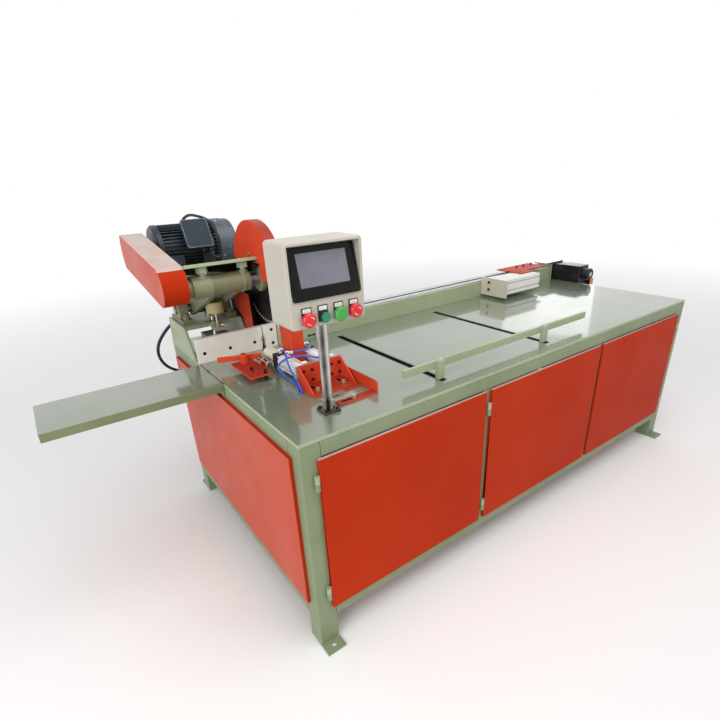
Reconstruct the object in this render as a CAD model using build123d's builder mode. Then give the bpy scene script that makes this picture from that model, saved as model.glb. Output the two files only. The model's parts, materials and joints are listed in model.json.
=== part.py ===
from build123d import *
import math
import os

os.makedirs("parts", exist_ok=True)

# Whole machine, in millimetres, with the floor at zero height
length = 2300.0
depth = 1210.0
table_height = 800.0

# Clearances
seat = 0.2
slide_gap = 0.3
bore_gap = 0.05

# Welded frame
post = 70.0
post_wall = 4.0
tube = 50.0
tube_wall = 3.0
plate_t = 12.0
foot_t = 8.0
foot_out = 46.0
foot_hole_r = 9.0
foot_hole_in = 36.0
foot_hole_out = 21.0
low_rail = 110.0
middle_one = 767.0
middle_two = 1506.0

# Sheet panels and doors
sheet = 2.0
panel_deep = 12.0
panel_in = 45.0
panel_up = 15.0
panel_over = 4.0
floor_gap = 1.0
door_gap = 1.0
door_lap = 17.0
last_door_lap = 4.0
door_post_gap = 14.0
hinge_out = 9.0
knuckle_r = 8.0
pin_r = 4.0
knuckle_len = 25.0
knuckle_in = 43.0
knuckle_top_gap = 8.0
hinge_block_half = 6.0
hinge_leaf_half = 3.0

# Slots and holes in the table
guide_slot_one = 611.0
guide_slot_two = 1201.0
guide_slot_w = 18.0
guide_slot_from = 60.0
guide_slot_ahead = 74.0
blade_slot_w = 10.0
blade_slot_ahead = 2.0
blade_slot_len = 258.0
tube_hole_x = 178.0
tube_hole_one = 40.0
tube_hole_two = 14.0
key_hole_x = 252.0
key_hole_y = 204.0
key_gap = 17.0
key_hole_r = 3.5
key_neck = 3.0

# Outfeed table
outfeed_len = 566.0
outfeed_w = 256.0
outfeed_back = 5.0
outfeed_t = 4.0
outfeed_skirt = 30.0
outfeed_flange = 52.0

# Fences
saw_in = 280.0
fence_in = 390.0
fence_t = 20.0
fence_h = 100.0
kerf = 5.0
kerf_relief_w = 8.0
kerf_relief_h = 35.0
cut_fence_len = 344.0
fence_screw_r = 7.0
fence_one_x = 27.0
fence_one_up = 39.0
fence_two_x = 133.0
fence_three_x = 240.0
fence_mid_up = 38.0
fence_end_x = 321.0
fence_end_up = 76.0
fence_low_x = 322.0
fence_low_up = 17.0
fence_screw_deep = 8.0
fence_screw_sunk = 3.0
angle_t = 8.0
angle_foot = 28.0
angle_h = 80.0
angle_in = 12.0
angle_chute_gap = 6.0
long_t = 11.0
long_h = 80.0
long_step = 8.0
long_end_in = 20.0
long_start_gap = 2.0
long_key_x = 508.0
long_key_up = 12.0
long_key_gap = 29.0
long_key_r = 4.5
long_key_neck = 3.5

# Belt-driven pusher module
module_w = 80.0
module_h = 88.0
module_start = 424.0
module_end_in = 38.0
channel_w = 36.0
channel_floor = 12.0
channel_roof = 4.0
channel_slot = 20.0
rear_groove_low = 26.0
rear_groove_high = 60.0
rear_groove_w = 10.0
rear_groove_deep = 5.0
end_wall = 6.0
end_skin = 3.0
wheel_gap = 4.0
wheel_lip = 1.0
shaft_end_gap = 0.5
pulley_r = 30.0
belt_t = 2.0
belt_w = 24.0
belt_axis_h = 50.0
idler_in = 392.0
idler_block_from = 352.0
drive_out = 56.0
housing_end = 110.0
housing_h = 99.6
idler_shaft_r = 8.0
drive_shaft_r = 10.0

# Servo drive beyond the right end
servo_plate_t = 11.0
gearbox_side = 90.0
gearbox_len = 60.0
gearbox_bore = 25.0
servo_side = 96.0
servo_len = 130.0
encoder_r = 35.0
encoder_len = 47.0
servo_flange_t = 6.0
servo_flange_len = 65.0
servo_flange_in = 4.0
servo_plate_drop = 5.0
servo_plate_past = 2.0
servo_hole_gap = 4.0
servo_round = 6.0
encoder_round = 8.0
servo_rib_gap = 24.0
servo_rib_w = 12.0
servo_rib_deep = 4.0
servo_rib_in = 12.0
plug_out = 36.0
plug_low = 74.0
plug_h = 39.0
plug_front = 22.0
plug_back = 18.0
plug_root = 16.0
plug_root_h = 49.0

# Pusher
beam_in = 665.0
beam_len = 310.0
beam_w = 120.0
beam_h = 80.0
beam_ahead = 170.0
beam_low = 28.0
t_slot_w = 8.2
t_slot_in = 14.0
t_slot_lip = 4.0
t_slot_deep = 10.0
core_hole_r = 5.0
push_plate_t = 10.0
push_plate_w = 180.0
push_plate_h = 95.0
push_plate_ahead = 190.0
push_plate_low = 15.0
bracket_t = 6.0
carriage_in = 355.0
carriage_len = 190.0
carriage_w = 74.0
carriage_inset = 3.0
bracket_len = 105.0
bracket_front_in = 50.0
bracket_lap = 20.0
bracket_end_in = 5.0
bracket_bolt_y = 19.0
bracket_bolt_one = 30.0
bracket_bolt_two = 95.0
bracket_bolt_three = 167.0
bolt_head_r = 6.5
bolt_head_h = 8.0

# Front guide bar
guide_from = 456.0
guide_to = 1515.0
guide_bar_t = 12.0
guide_bar_h = 28.0
guide_bar_low = 38.0
guide_front = 95.0
guide_post = 28.0
guide_post_deep = 18.0
guide_post_over = 3.0
guide_nut = 13.0
guide_nut_h = 7.0
t_bolt_r = 8.0
t_nut_t = 9.5

# Control post and console
post_x = 180.0
post_y = 130.0
post_r = 16.0
post_base = 56.0
post_base_t = 8.0
post_socket_r = 19.0
post_socket_h = 40.0
post_bolt_out = 20.0
console_from = 50.0
console_w = 234.0
console_front = 56.0
console_deep = 112.0
console_low = 295.0
console_h = 221.0
console_round = 12.0
console_rim = 6.0
console_wall = 4.5
cover_t = 2.0
wedge_in = 10.0
wedge_low = 66.0
wedge_high = 211.0
wedge_deep = 34.0
hmi_w = 206.0
hmi_h = 134.0
hmi_t = 6.0
hmi_case_in = 10.0
hmi_case_deep = 32.0
hmi_case_gap = 2.0
hmi_round = 6.0
screen_w = 150.0
screen_h = 86.0
screen_up = 8.0
screen_deep = 1.0
button_first = 97.0
button_step = 49.0
button_up = 26.0
mushroom_r = 20.0
mushroom_t = 13.0
mushroom_round = 8.0
flush_r = 14.0
flush_t = 9.0
flush_round = 2.0
button_stem_r = 11.0
button_travel = 4.0
button_collar_r = 15.0
button_collar_t = 3.0
button_tail = 12.0
button_stop_r = 14.0
button_stop_t = 6.0
legend_w = 30.0
legend_h = 44.0
legend_below = 13.0
legend_t = 2.0

# Timber clamps
clamp_plate_ahead = 485.0
clamp_plate_t = 8.0
clamp_from = 190.0
clamp_to = 363.0
clamp_h = 80.0
clamp_base_len = 100.0
clamp_slot_in = 24.0
clamp_slot_len = 56.0
clamp_slot_w = 11.0
clamp_slot_one = 222.0
clamp_slot_two = 326.0
clamp_rod_hole_r = 12.0
clamp_bolt_in = 10.0
cap_screw_r = 5.0
cap_screw_h = 6.0
cap_screw_side = 16.5
cap_screw_up = 18.0
zinc_washer_r = 9.0
zinc_washer_t = 2.0
zinc_head = 14.0
zinc_head_h = 7.0
gusset_t = 6.0
gusset_in = 8.0
clamp_one = 226.0
clamp_two = 335.0
clamp_axis_h = 41.0
cap_side = 54.0
rear_cap_t = 30.0
barrel_r = 23.0
barrel_len = 152.0
front_cap_t = 30.0
tie_rod_r = 3.0
tie_rod_out = 19.0
ram_bore_r = 20.0
ram_rod_r = 8.0
piston_t = 12.0
pad_r = 25.0
pad_len = 80.0
pad_gap = 15.0
fitting_r = 6.0
fitting_h = 12.0
fitting_out = 9.0
pad_round = 4.0
piston_start = 1.0
side_wall_x = 370.0
side_wall_t = 5.0
side_wall_h = 42.0
side_wall_from = 132.0
side_wall_cut = 12.0
side_wall_drop = 7.0
strip_t = 6.0
strip_from = 222.0
strip_w = 32.0
strip_ahead = 3.0
strip_slot_x = 268.0
strip_slot_len = 64.0
strip_slot_w = 10.0
strip_bolt_x = 285.0
link_from = 300.0
link_w = 20.0

# Side presser
presser_from = 74.0
presser_to = 158.0
presser_ahead = 344.0
presser_len = 189.0
presser_up = 22.0
presser_t = 6.0
presser_slot_x = 110.0
presser_slot_ahead = 300.0
presser_slot_len = 72.0
presser_slot_w = 11.0
spacer_r = 12.0
level_x = 135.0
level_in = 12.0
level_r = 6.0
level_foot_r = 5.0
level_foot_h = 6.0
level_over = 14.0
hub_x = 118.0
hub_ahead = 180.0
hub_r = 14.0
hub_pin_r = 6.0
hub_h = 30.0
hub_cap_r = 10.0
hub_cap_h = 7.0
shoe_slant = 24.0
shoe_offset = 22.0
shoe_t = 8.0
shoe_left = 99.0
shoe_right = 66.0
shoe_low = 4.0
shoe_h = 20.0
shoe_neck = 22.0
small_cyl_x = 170.0
small_cyl_r = 10.0
small_cyl_ahead = 300.0
small_cyl_len = 90.0
small_lug_one = 6.0
small_lug_two = 54.0
small_lug_t = 12.0
small_lug_in = 12.0
small_lug_out = 9.0
small_lug_h = 12.0
small_rod_hole = 30.0
small_rod_in = 32.0
small_rod_r = 4.0

# Guards fixed to the table
column_ahead = 325.0
column_deep = 90.0
column_h = 234.0
column_w = 50.0
guard_sheet = 3.0
chute_w = 60.0
chute_front = 22.0
chute_low_deep = 70.0
chute_bend_deep = 98.0
chute_bend_h = 125.0
chute_top_deep = 169.0
chute_flare_h = 162.0

# Saw stand
stand_w = 248.0
stand_t = 10.0
stand_h = 120.0
stand_top_t = 15.0
stand_low_front = 335.0
stand_low_back = 5.0
stand_top_front = 253.0
stand_top_back = 30.0
stand_open_w = 64.0
stand_open_len = 40.0
stand_strip_h = 42.0
ledge_w = 40.0
ledge_t = 12.0
ledge_ahead = 25.0
ledge_lap = 6.0
pivot_in = 125.0
pivot_up = 168.0
pivot_r = 17.5
block_base = 167.0
block_base_w = 46.0
block_base_t = 16.0
block_r = 47.0
block_one = 35.0
block_two = 223.0
block_bolt_out = 64.0
block_inset = 4.0
block_toe_out = 42.0
block_toe_r = 6.0
washer_r = 14.0
washer_t = 3.0
block_nut = 24.0
block_nut_h = 12.0
block_stud_r = 7.0
block_stud_h = 7.0

# Swinging head
swing = 23.5
arbor_ahead = 75.0
arbor_up = 313.0
housing_r = 38.0
housing_end_r = 41.0
housing_from = 5.0
housing_to = 220.0
housing_left = 69.0
housing_right = 24.0
housing_ring = 6.0
housing_band_r = 39.5
bearing_len = 36.0
bearing_step = 9.0
spigot_r = 32.0
spigot_from = -17.0
spindle_r = 20.0
arm_pivot_r = 32.0
arm_tail_r = 16.0
arm_tail_ahead = 10.0
arm_tail_up = 126.0
arm_one = 74.0
arm_one_t = 20.0
arm_two = 172.0
arm_two_t = 16.0
sleeve_r = 28.0
arm_root_in = 2.0
window_front = 85.0
window_drop = 18.0
window_front_r = 14.0
window_rear = 75.0
window_up = 78.0
window_rear_r = 24.0
lug_root_r = 24.0
stop_w = 60.0
stop_t = 14.0
shaft_in = 6.0
shaft_end_in = 1.0
shaft_chamfer = 2.0
blade_r = 177.5
blade_t = 3.2
blade_bore_r = 15.0
teeth = 60
tooth_deep = 7.0
tooth_relief = 1.5
tooth_back = 0.3
tooth_root = 0.62
tooth_face = 0.9
slits = 4
slit_deep = 32.0
slit_share = 12.75
slit_w = 2.0
slit_hole_r = 4.0
flange_r = 50.0
flange_t = 16.0
outer_flange_r = 36.0
outer_flange_t = 9.0
arbor_nut_r = 20.0
arbor_nut_h = 12.0
arbor_pulley_r = 38.0
motor_pulley_r = 54.0
pulley_from = -92.0
pulley_to = -30.0
groove_deep = 9.0
groove_w = 12.0
belts = 3
belt_gap = 0.5
belt_over = 2.0
belt_under = 1.0
pulley_nose = 3.0

# Head cylinder and its stop
head_cyl_x = 133.0
head_cyl_in = 223.0
head_cyl_r = 45.0
head_cap = 95.0
head_cap_gap = 7.0
head_cap_t = 30.0
head_cap_up = 38.0
head_cyl_below = 100.0
head_flange = 140.0
head_flange_t = 12.0
head_rod_r = 12.5
head_tail_t = 22.0
head_cyl_wall = 5.0
head_floor = 10.0
head_piston_up = 14.0
head_piston_t = 16.0
lug_reach = 98.0
lug_r = 16.0
lug_t = 24.0
lug_pin_r = 8.0
fork_t = 12.0
fork_deep = 30.0
fork_gap = 1.0
fork_below = 46.0
fork_above = 14.0
fork_root = 16.0
fork_slot_len = 6.0
fork_slot_gap = 1.0
bumper_in = 280.0
bumper_r = 34.0
bumper_dish_r = 24.0
bumper_dish = 4.0
bumper_h = 45.0
bumper_up = 168.0
bumper_stud_r = 6.0
bumper_round = 4.0
bumper_nut = 19.0
bumper_nut_h = 10.0

# Motor, its plate and the belt guard
tilt = 11.5
motor_plate_t = 12.0
motor_plate_len = 620.0
motor_plate_from = -16.8
motor_plate_to = 248.8
motor_plate_ahead = 120.0
motor_plate_up = 401.0
motor_along = 493.0
shaft_h = 106.0
motor_from = 30.0
motor_to = 250.0
motor_core_r = 84.0
fin_h = 12.0
fin_t = 3.0
fins = 40
bell_r = 98.0
bell_t = 25.0
rear_bell_t = 12.0
bell_chamfer = 9.0
fin_root = 1.0
shaft_r = 14.0
fan_cover_len = 83.0
fan_cover_r = 105.0
fan_step = 3.0
fan_step_at = 42.0
fan_round = 16.0
fan_r = 80.0
fan_at = 14.0
fan_plate_t = 4.0
fan_blades = 7
fan_blade_mid = 52.0
fan_blade_w = 50.0
fan_blade_h = 24.0
vent_r = 9.0
vent_ring_one = 34.0
vents_one = 8
vent_ring_two = 62.0
vents_two = 14
fan_lip_t = 6.0
motor_foot_w = 44.0
motor_foot_out = 95.0
motor_foot_t = 14.0
motor_foot_len = 50.0
motor_foot_in = 20.0
motor_web_t = 16.0
motor_web_h = 60.0
motor_web_in = 14.0
motor_web_up = 6.0
box_w = 108.0
box_h = 118.0
box_deep = 35.0
box_lean = 64.0
box_side = 23.0
box_round = 8.0
box_neck = 14.0
box_neck_in = 24.0
box_lid_t = 9.0
box_lid_in = 2.0
gland_r = 11.0
gland_h = 14.0
gland_root = 4.0
gland_one = 14.0
gland_two = 44.0
gland_up = 17.0
guard_half = 68.5
guard_tilt = 8.5
guard_ahead = 6.0
guard_len = 526.0
guard_front_bulge = 52.0
guard_rear_bulge = 22.0
guard_from = -105.0
guard_back = -17.2
guard_skin = 2.5
guard_lift = 17.0
guard_back_in = 5.0
spindle_hole_gap = 6.0
shaft_hole_gap = 12.0
blade_guard_r = 184.0
blade_guard_lift = 29.0
blade_guard_w = 42.0
blade_guard_cut = 140.0
blade_guard_rear = 56.0
blade_guard_clear = 12.0
guard_bolt_r = 7.0
guard_bolt_h = 5.0
guard_bolt_back = 25.0
guard_bolt_up = 90.0
jack_one = 50.0
jack_two = 203.0
jack_flats = 38.0
jack_nut_h = 18.0
jack_ahead = 12.0
jack_boss_r = 17.0
jack_boss_up = 41.0
jack_stud_r = 11.0
plate_gland_x = 140.0
plate_gland_along = 600.0

# Electrics in the cabinet
tray_in = 84.0
tray_gap = 11.0
tray_t = 3.0
tray_low = 230.0
tray_h = 430.0
tray_edge = 30.0
stay_in = 30.0
stay_w = 30.0
stay_t = 8.0
stay_foot = 40.0
drive_w = 120.0
drive_h = 190.0
drive_deep = 130.0
supply_w = 90.0
unit_gap = 40.0
valve_h = 120.0
valve_deep = 60.0
rail_up = 120.0
rail_h = 35.0
breakers = 8
breaker_step = 50.0
breaker_w = 36.0
breaker_deep = 54.0
breaker_over = 20.0

# Cords
conduit_r = 7.0
cable_r = 6.0
air_r = 3.5

# Places that follow from the sizes
left = -length / 2
right = length / 2
front = -depth / 2
back = depth / 2
top = table_height
under = top - plate_t - seat
rail_low = under - tube
blade_x = left + saw_in
fence_y = back - fence_in
long_y = fence_y - long_step
module_y = long_y + long_t + seat
belt_y = module_y + module_w / 2
belt_z = top + belt_axis_h
pivot_y = back - pivot_in
pivot_z = top + pivot_up
arbor_y = fence_y - arbor_ahead
arbor_z = top + arbor_up
edge_y = fence_y - motor_plate_ahead
edge_z = top + motor_plate_up
tilt_cos = math.cos(math.radians(tilt))
tilt_sin = math.sin(math.radians(tilt))
motor_y = edge_y + motor_along * tilt_cos + shaft_h * tilt_sin
motor_z = edge_z - motor_along * tilt_sin + shaft_h * tilt_cos
stand_top = top + stand_h
lug_lift = math.radians(swing / 2)
lug_y = pivot_y - lug_reach * math.cos(lug_lift)
lug_z = pivot_z + lug_reach * math.sin(lug_lift)
push_top = top + beam_low + beam_h
head_at = (left + head_cyl_x, back - head_cyl_in)
bumper_at = (left + head_cyl_x, back - bumper_in)
clamp_face = fence_y - clamp_plate_ahead
air_hole_x = left + tube_hole_x
air_holes = (clamp_face - tube_hole_one, clamp_face - tube_hole_two)
hmi_lean = math.atan2(wedge_deep, wedge_high - wedge_low)


def block(x, y, z, mode=Mode.ADD):
    """Box between the low and high limits on each axis."""
    centre = ((x[0] + x[1]) / 2, (y[0] + y[1]) / 2, (z[0] + z[1]) / 2)
    with Locations(centre):
        Box(x[1] - x[0], y[1] - y[0], z[1] - z[0], mode=mode)


def bar_x(x, y, z, r, mode=Mode.ADD):
    """Round bar along X."""
    with Locations(Location(((x[0] + x[1]) / 2, y, z), (0, 90, 0))):
        Cylinder(r, x[1] - x[0], mode=mode)


def bar_y(x, y, z, r, mode=Mode.ADD):
    """Round bar along Y."""
    with Locations(Location((x, (y[0] + y[1]) / 2, z), (90, 0, 0))):
        Cylinder(r, y[1] - y[0], mode=mode)


def bar_z(x, y, z, r, mode=Mode.ADD):
    """Round bar along Z."""
    with Locations((x, y, (z[0] + z[1]) / 2)):
        Cylinder(r, z[1] - z[0], mode=mode)


def plate_x(points, x, mode=Mode.ADD):
    """Outline in Y and Z carried along X."""
    with BuildSketch(Plane.YZ.offset(x[0])) as outline:
        with BuildLine():
            Polyline(*points, close=True)
        make_face()
    extrude(outline.sketch, amount=x[1] - x[0], mode=mode)


def plate_y(points, y, mode=Mode.ADD):
    """Outline in X and Z carried along Y."""
    with BuildSketch(Plane.XZ.offset(-y[1])) as outline:
        with BuildLine():
            Polyline(*points, close=True)
        make_face()
    extrude(outline.sketch, amount=y[1] - y[0], mode=mode)


def hull_x(circles, x, mode=Mode.ADD):
    """Tight band around circles in Y and Z, carried along X."""
    with BuildSketch(Plane.YZ.offset(x[0])) as outline:
        for y, z, r in circles:
            with Locations((y, z)):
                Circle(r)
        make_hull()
    extrude(outline.sketch, amount=x[1] - x[0], mode=mode)


def slot_z(x, y, z, wide, mode=Mode.SUBTRACT):
    """Round-ended slot along Y, cut down through Z."""
    with BuildSketch(Plane.XY.offset(z[0])) as outline:
        with Locations((x, (y[0] + y[1]) / 2)):
            SlotOverall(y[1] - y[0], wide, rotation=90)
    extrude(outline.sketch, amount=z[1] - z[0], mode=mode)


def hex_z(x, y, z, flats):
    """Hexagon head along Z."""
    with BuildSketch(Plane.XY.offset(z[0])) as outline:
        with Locations((x, y)):
            RegularPolygon(flats / math.sqrt(3), 6)
    extrude(outline.sketch, amount=z[1] - z[0])


def key_slot(centre, gap, hole_r, neck, mode=Mode.SUBTRACT):
    """Two holes joined by a narrow neck, in the sketch plane's own axes."""
    with Locations((centre[0] - gap / 2, centre[1]), (centre[0] + gap / 2, centre[1])):
        Circle(hole_r, mode=mode)
    with Locations(centre):
        Rectangle(gap, neck, mode=mode)


def tube_x(x, y, z):
    """Square tube along X with its low corner at y, z."""
    inner = (tube_wall, tube - tube_wall)
    block(x, (y, y + tube), (z, z + tube))
    block(x, (y + inner[0], y + inner[1]), (z + inner[0], z + inner[1]), Mode.SUBTRACT)


def tube_y(x, y, z):
    """Square tube along Y with its low corner at x, z."""
    inner = (tube_wall, tube - tube_wall)
    block((x, x + tube), y, (z, z + tube))
    block((x + inner[0], x + inner[1]), y, (z + inner[0], z + inner[1]), Mode.SUBTRACT)


def tube_z(x, y, z):
    """Square tube along Z with its low corner at x, y."""
    inner = (tube_wall, tube - tube_wall)
    block((x, x + tube), (y, y + tube), z)
    block((x + inner[0], x + inner[1]), (y + inner[0], y + inner[1]), z, Mode.SUBTRACT)


def corner_radii(points):
    """Widest smooth bend at each inner point of a cord's route."""
    radii = []
    for before, here, after in zip(points, points[1:], points[2:]):
        run_in = Vector(here) - Vector(before)
        run_out = Vector(after) - Vector(here)
        turn = math.radians(run_in.get_angle(run_out))
        radii.append(0.45 * min(run_in.length, run_out.length) / math.tan(turn / 2))
    return radii


def cord(points, r, name):
    """Round cord along straight runs joined by tangent arcs."""
    radii = corner_radii(points)
    with BuildLine() as route:
        FilletPolyline(*points, radius=radii)
    start = Plane(origin=points[0], z_dir=Vector(points[1]) - Vector(points[0]))
    with BuildSketch(start) as section:
        Circle(r)
    sweep(section.sketch, path=route.wire())
    run = sum(edge.length for edge in route.edges())
    print(name, "length", round(run), "radii", [round(value) for value in radii])


def save(piece, name):
    """Write one piece under its name."""
    piece.part.label = name
    export_step(piece.part, f"parts/{name}.step")


# Welded frame: legs with foot plates, rails, middle posts and hinge halves
leg_x = (left, right - post)
leg_y = (front, back - post)
middle_x = (left + middle_one, left + middle_two)
hinge_y = front - hinge_out
hinge_x = (
    left + post - door_lap - hinge_out,
    middle_x[0] + door_post_gap - hinge_out,
    right - post + last_door_lap + hinge_out,
)
door_low = low_rail + tube + door_gap
knuckle_drop = knuckle_in + 2 * knuckle_len + knuckle_top_gap
knuckle_z = (door_low + knuckle_in, rail_low - knuckle_drop)
with BuildPart() as frame:
    for x in leg_x:
        for y in leg_y:
            block((x, x + post), (y, y + post), (0, under))
            leg_bore = (post_wall, post - post_wall)
            leg_hollow_y = (y + leg_bore[0], y + leg_bore[1])
            block((x + leg_bore[0], x + leg_bore[1]), leg_hollow_y, (foot_t, under), Mode.SUBTRACT)
    front_foot = (front - foot_out, front - seat)
    rear_foot = (back + seat, back + foot_out)
    for x, hole_x in zip(leg_x, (left + foot_hole_in, right - foot_hole_in)):
        for y, hole_y in ((front_foot, front - foot_hole_out), (rear_foot, back + foot_hole_out)):
            block((x, x + post), y, (0, foot_t))
            bar_z(hole_x, hole_y, (0, foot_t), foot_hole_r, Mode.SUBTRACT)
    for z in (low_rail, rail_low):
        for y in (front, back - tube):
            tube_x((left + post + seat, right - post - seat), y, z)
        for x in (left, right - tube):
            tube_y(x, (front + post + seat, back - post - seat), z)
        for x in middle_x:
            tube_y(x - tube / 2, (front + tube + seat, back - tube - seat), z)
    for x in middle_x:
        for y in (front, back - tube):
            tube_z(x - tube / 2, y, (low_rail + tube + seat, rail_low - seat))
    for x in hinge_x:
        for z in knuckle_z:
            bar_z(x, hinge_y, (z, z + knuckle_len), knuckle_r)
            hinge_block = (x - hinge_block_half, x + hinge_block_half)
            block(hinge_block, (hinge_y, front - seat), (z, z + knuckle_len))
            bar_z(x, hinge_y, (z, z + 2 * knuckle_len), pin_r)
save(frame, "frame")

# Table plate with its slots and holes
hole_z = (top - plate_t, top)
with BuildPart() as table_top:
    block((left, right), (front, back), hole_z)
    for x in (guide_slot_one, guide_slot_two):
        slot_z(left + x, (front + guide_slot_from, fence_y - guide_slot_ahead), hole_z, guide_slot_w)
    blade_slot_end = fence_y - blade_slot_ahead
    slot_z(blade_x, (blade_slot_end - blade_slot_len, blade_slot_end), hole_z, blade_slot_w)
    cyl_hole = head_cap / 2 + head_cap_gap
    cyl_hole_y = (head_at[1] - cyl_hole, head_at[1] + cyl_hole)
    block((head_at[0] - cyl_hole, head_at[0] + cyl_hole), cyl_hole_y, hole_z, Mode.SUBTRACT)
    for y in air_holes:
        bar_z(air_hole_x, y, hole_z, air_r + seat, Mode.SUBTRACT)
    with BuildSketch(Plane.XY.offset(top)):
        key_slot((left + key_hole_x, front + key_hole_y), key_gap, key_hole_r, key_neck, Mode.ADD)
    extrude(amount=-plate_t, mode=Mode.SUBTRACT)
save(table_top, "table_top")

# End and rear panels as folded trays, and the cabinet floor
panel_y = (front + panel_in, back - panel_in)
panel_z = (low_rail + tube + panel_up, rail_low + panel_over)
with BuildPart() as cabinet_panels:
    for low, high, skin in ((left - panel_deep, left - seat, 1), (right + seat, right + panel_deep, -1)):
        block((low, high), panel_y, panel_z)
        hollow = (low + sheet, high) if skin > 0 else (low, high - sheet)
        block(
            hollow,
            (panel_y[0] + sheet, panel_y[1] - sheet),
            (panel_z[0] + sheet, panel_z[1] - sheet),
            Mode.SUBTRACT,
        )
    rear_x = (left + post - door_lap, right - post + door_lap)
    block(rear_x, (back + seat, back + panel_deep), (door_low, rail_low))
    block(
        (rear_x[0] + sheet, rear_x[1] - sheet),
        (back + seat, back + panel_deep - sheet),
        (door_low + sheet, rail_low - sheet),
        Mode.SUBTRACT,
    )
    floor_z = low_rail + tube + seat
    floor_x = (left + post + floor_gap, right - post - floor_gap)
    floor_y = (front + tube + floor_gap, back - tube - floor_gap)
    block(floor_x, floor_y, (floor_z, floor_z + sheet))
save(cabinet_panels, "cabinet_panels")

# Doors as folded trays with hinge halves
door_high = rail_low
door_y = (front - panel_deep - door_gap, front - door_gap)
door_edges = (
    ("door_left", left + post - door_lap, middle_x[0] - door_post_gap, hinge_x[0]),
    ("door_middle", middle_x[0] + door_post_gap, middle_x[1] - door_post_gap, hinge_x[1]),
    ("door_right", middle_x[1] + door_post_gap, right - post + last_door_lap, hinge_x[2]),
)
for name, low, high, axis_x in door_edges:
    with BuildPart() as door:
        block((low, high), door_y, (door_low, door_high))
        block(
            (low + sheet, high - sheet),
            (door_y[0] + sheet, door_y[1]),
            (door_low + sheet, door_high - sheet),
            Mode.SUBTRACT,
        )
        reach = (axis_x, low + sheet) if axis_x < low else (high - sheet, axis_x)
        for z in knuckle_z:
            half = (z + knuckle_len + slide_gap, z + 2 * knuckle_len)
            block(reach, (hinge_y - hinge_leaf_half, hinge_y + hinge_leaf_half), half)
            bar_z(axis_x, hinge_y, half, knuckle_r)
            bar_z(axis_x, hinge_y, half, pin_r + bore_gap, Mode.SUBTRACT)
    save(door, name)

# Outfeed table: folded sheet with an end flange
outfeed_y = (fence_y - outfeed_back - outfeed_w, fence_y - outfeed_back)
outfeed_x = (left - outfeed_len, left - seat)
with BuildPart() as outfeed_table:
    block(outfeed_x, outfeed_y, (top - outfeed_skirt, top))
    block(
        outfeed_x,
        (outfeed_y[0] + outfeed_t, outfeed_y[1] - outfeed_t),
        (top - outfeed_skirt, top - outfeed_t),
        Mode.SUBTRACT,
    )
    flange_y = (outfeed_y[0] + outfeed_t, outfeed_y[1] - outfeed_t)
    block((outfeed_x[1] - outfeed_t, outfeed_x[1]), flange_y, (top - outfeed_flange, top))
    block((outfeed_x[0], outfeed_x[0] + outfeed_t), flange_y, (top - outfeed_skirt, top))
save(outfeed_table, "outfeed_table")

# Cut fence in two halves beside the kerf, on backing angles
fence_z = (top + seat, top + fence_h)
halves = ((left, blade_x - kerf / 2), (blade_x + kerf / 2, left + cut_fence_len))
fence_holes = (
    (fence_one_x, fence_one_up),
    (fence_two_x, fence_mid_up),
    (fence_three_x, fence_mid_up),
    (fence_end_x, fence_end_up),
    (fence_low_x, fence_low_up),
)
with BuildPart() as cut_fence:
    for x in halves:
        block(x, (fence_y, fence_y + fence_t), fence_z)
    for way in (-1, 1):
        kerf_edge = blade_x + way * kerf / 2
        relief = (
            (kerf_edge, top),
            (kerf_edge + way * kerf_relief_w, top),
            (kerf_edge, top + kerf_relief_h),
        )
        plate_y(relief, (fence_y, fence_y + fence_t), Mode.SUBTRACT)
    for x, z in fence_holes:
        screw_y = (fence_y, fence_y + fence_screw_deep)
        bar_y(left + x, screw_y, top + z, fence_screw_r, Mode.SUBTRACT)
    angle_y = fence_y + fence_t + seat
    angle_reach = chute_w / 2 + angle_chute_gap
    for x in ((left + angle_in, blade_x - angle_reach), (blade_x + angle_reach, left + cut_fence_len)):
        block(x, (angle_y, angle_y + angle_t), (top + seat, top + angle_h))
        block(x, (angle_y, angle_y + angle_foot), (top + seat, top + angle_t))
save(cut_fence, "cut_fence")

# Long fence along the module
long_x = (left + cut_fence_len + long_start_gap, right - long_end_in)
with BuildPart() as long_fence:
    block(long_x, (long_y, long_y + long_t), (top + seat, top + long_h))
    with BuildSketch(Plane.XZ.offset(-long_y)):
        long_key = (left + long_key_x, top + long_key_up)
        key_slot(long_key, long_key_gap, long_key_r, long_key_neck, Mode.ADD)
    extrude(amount=-long_t, mode=Mode.SUBTRACT)
save(long_fence, "long_fence")

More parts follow.
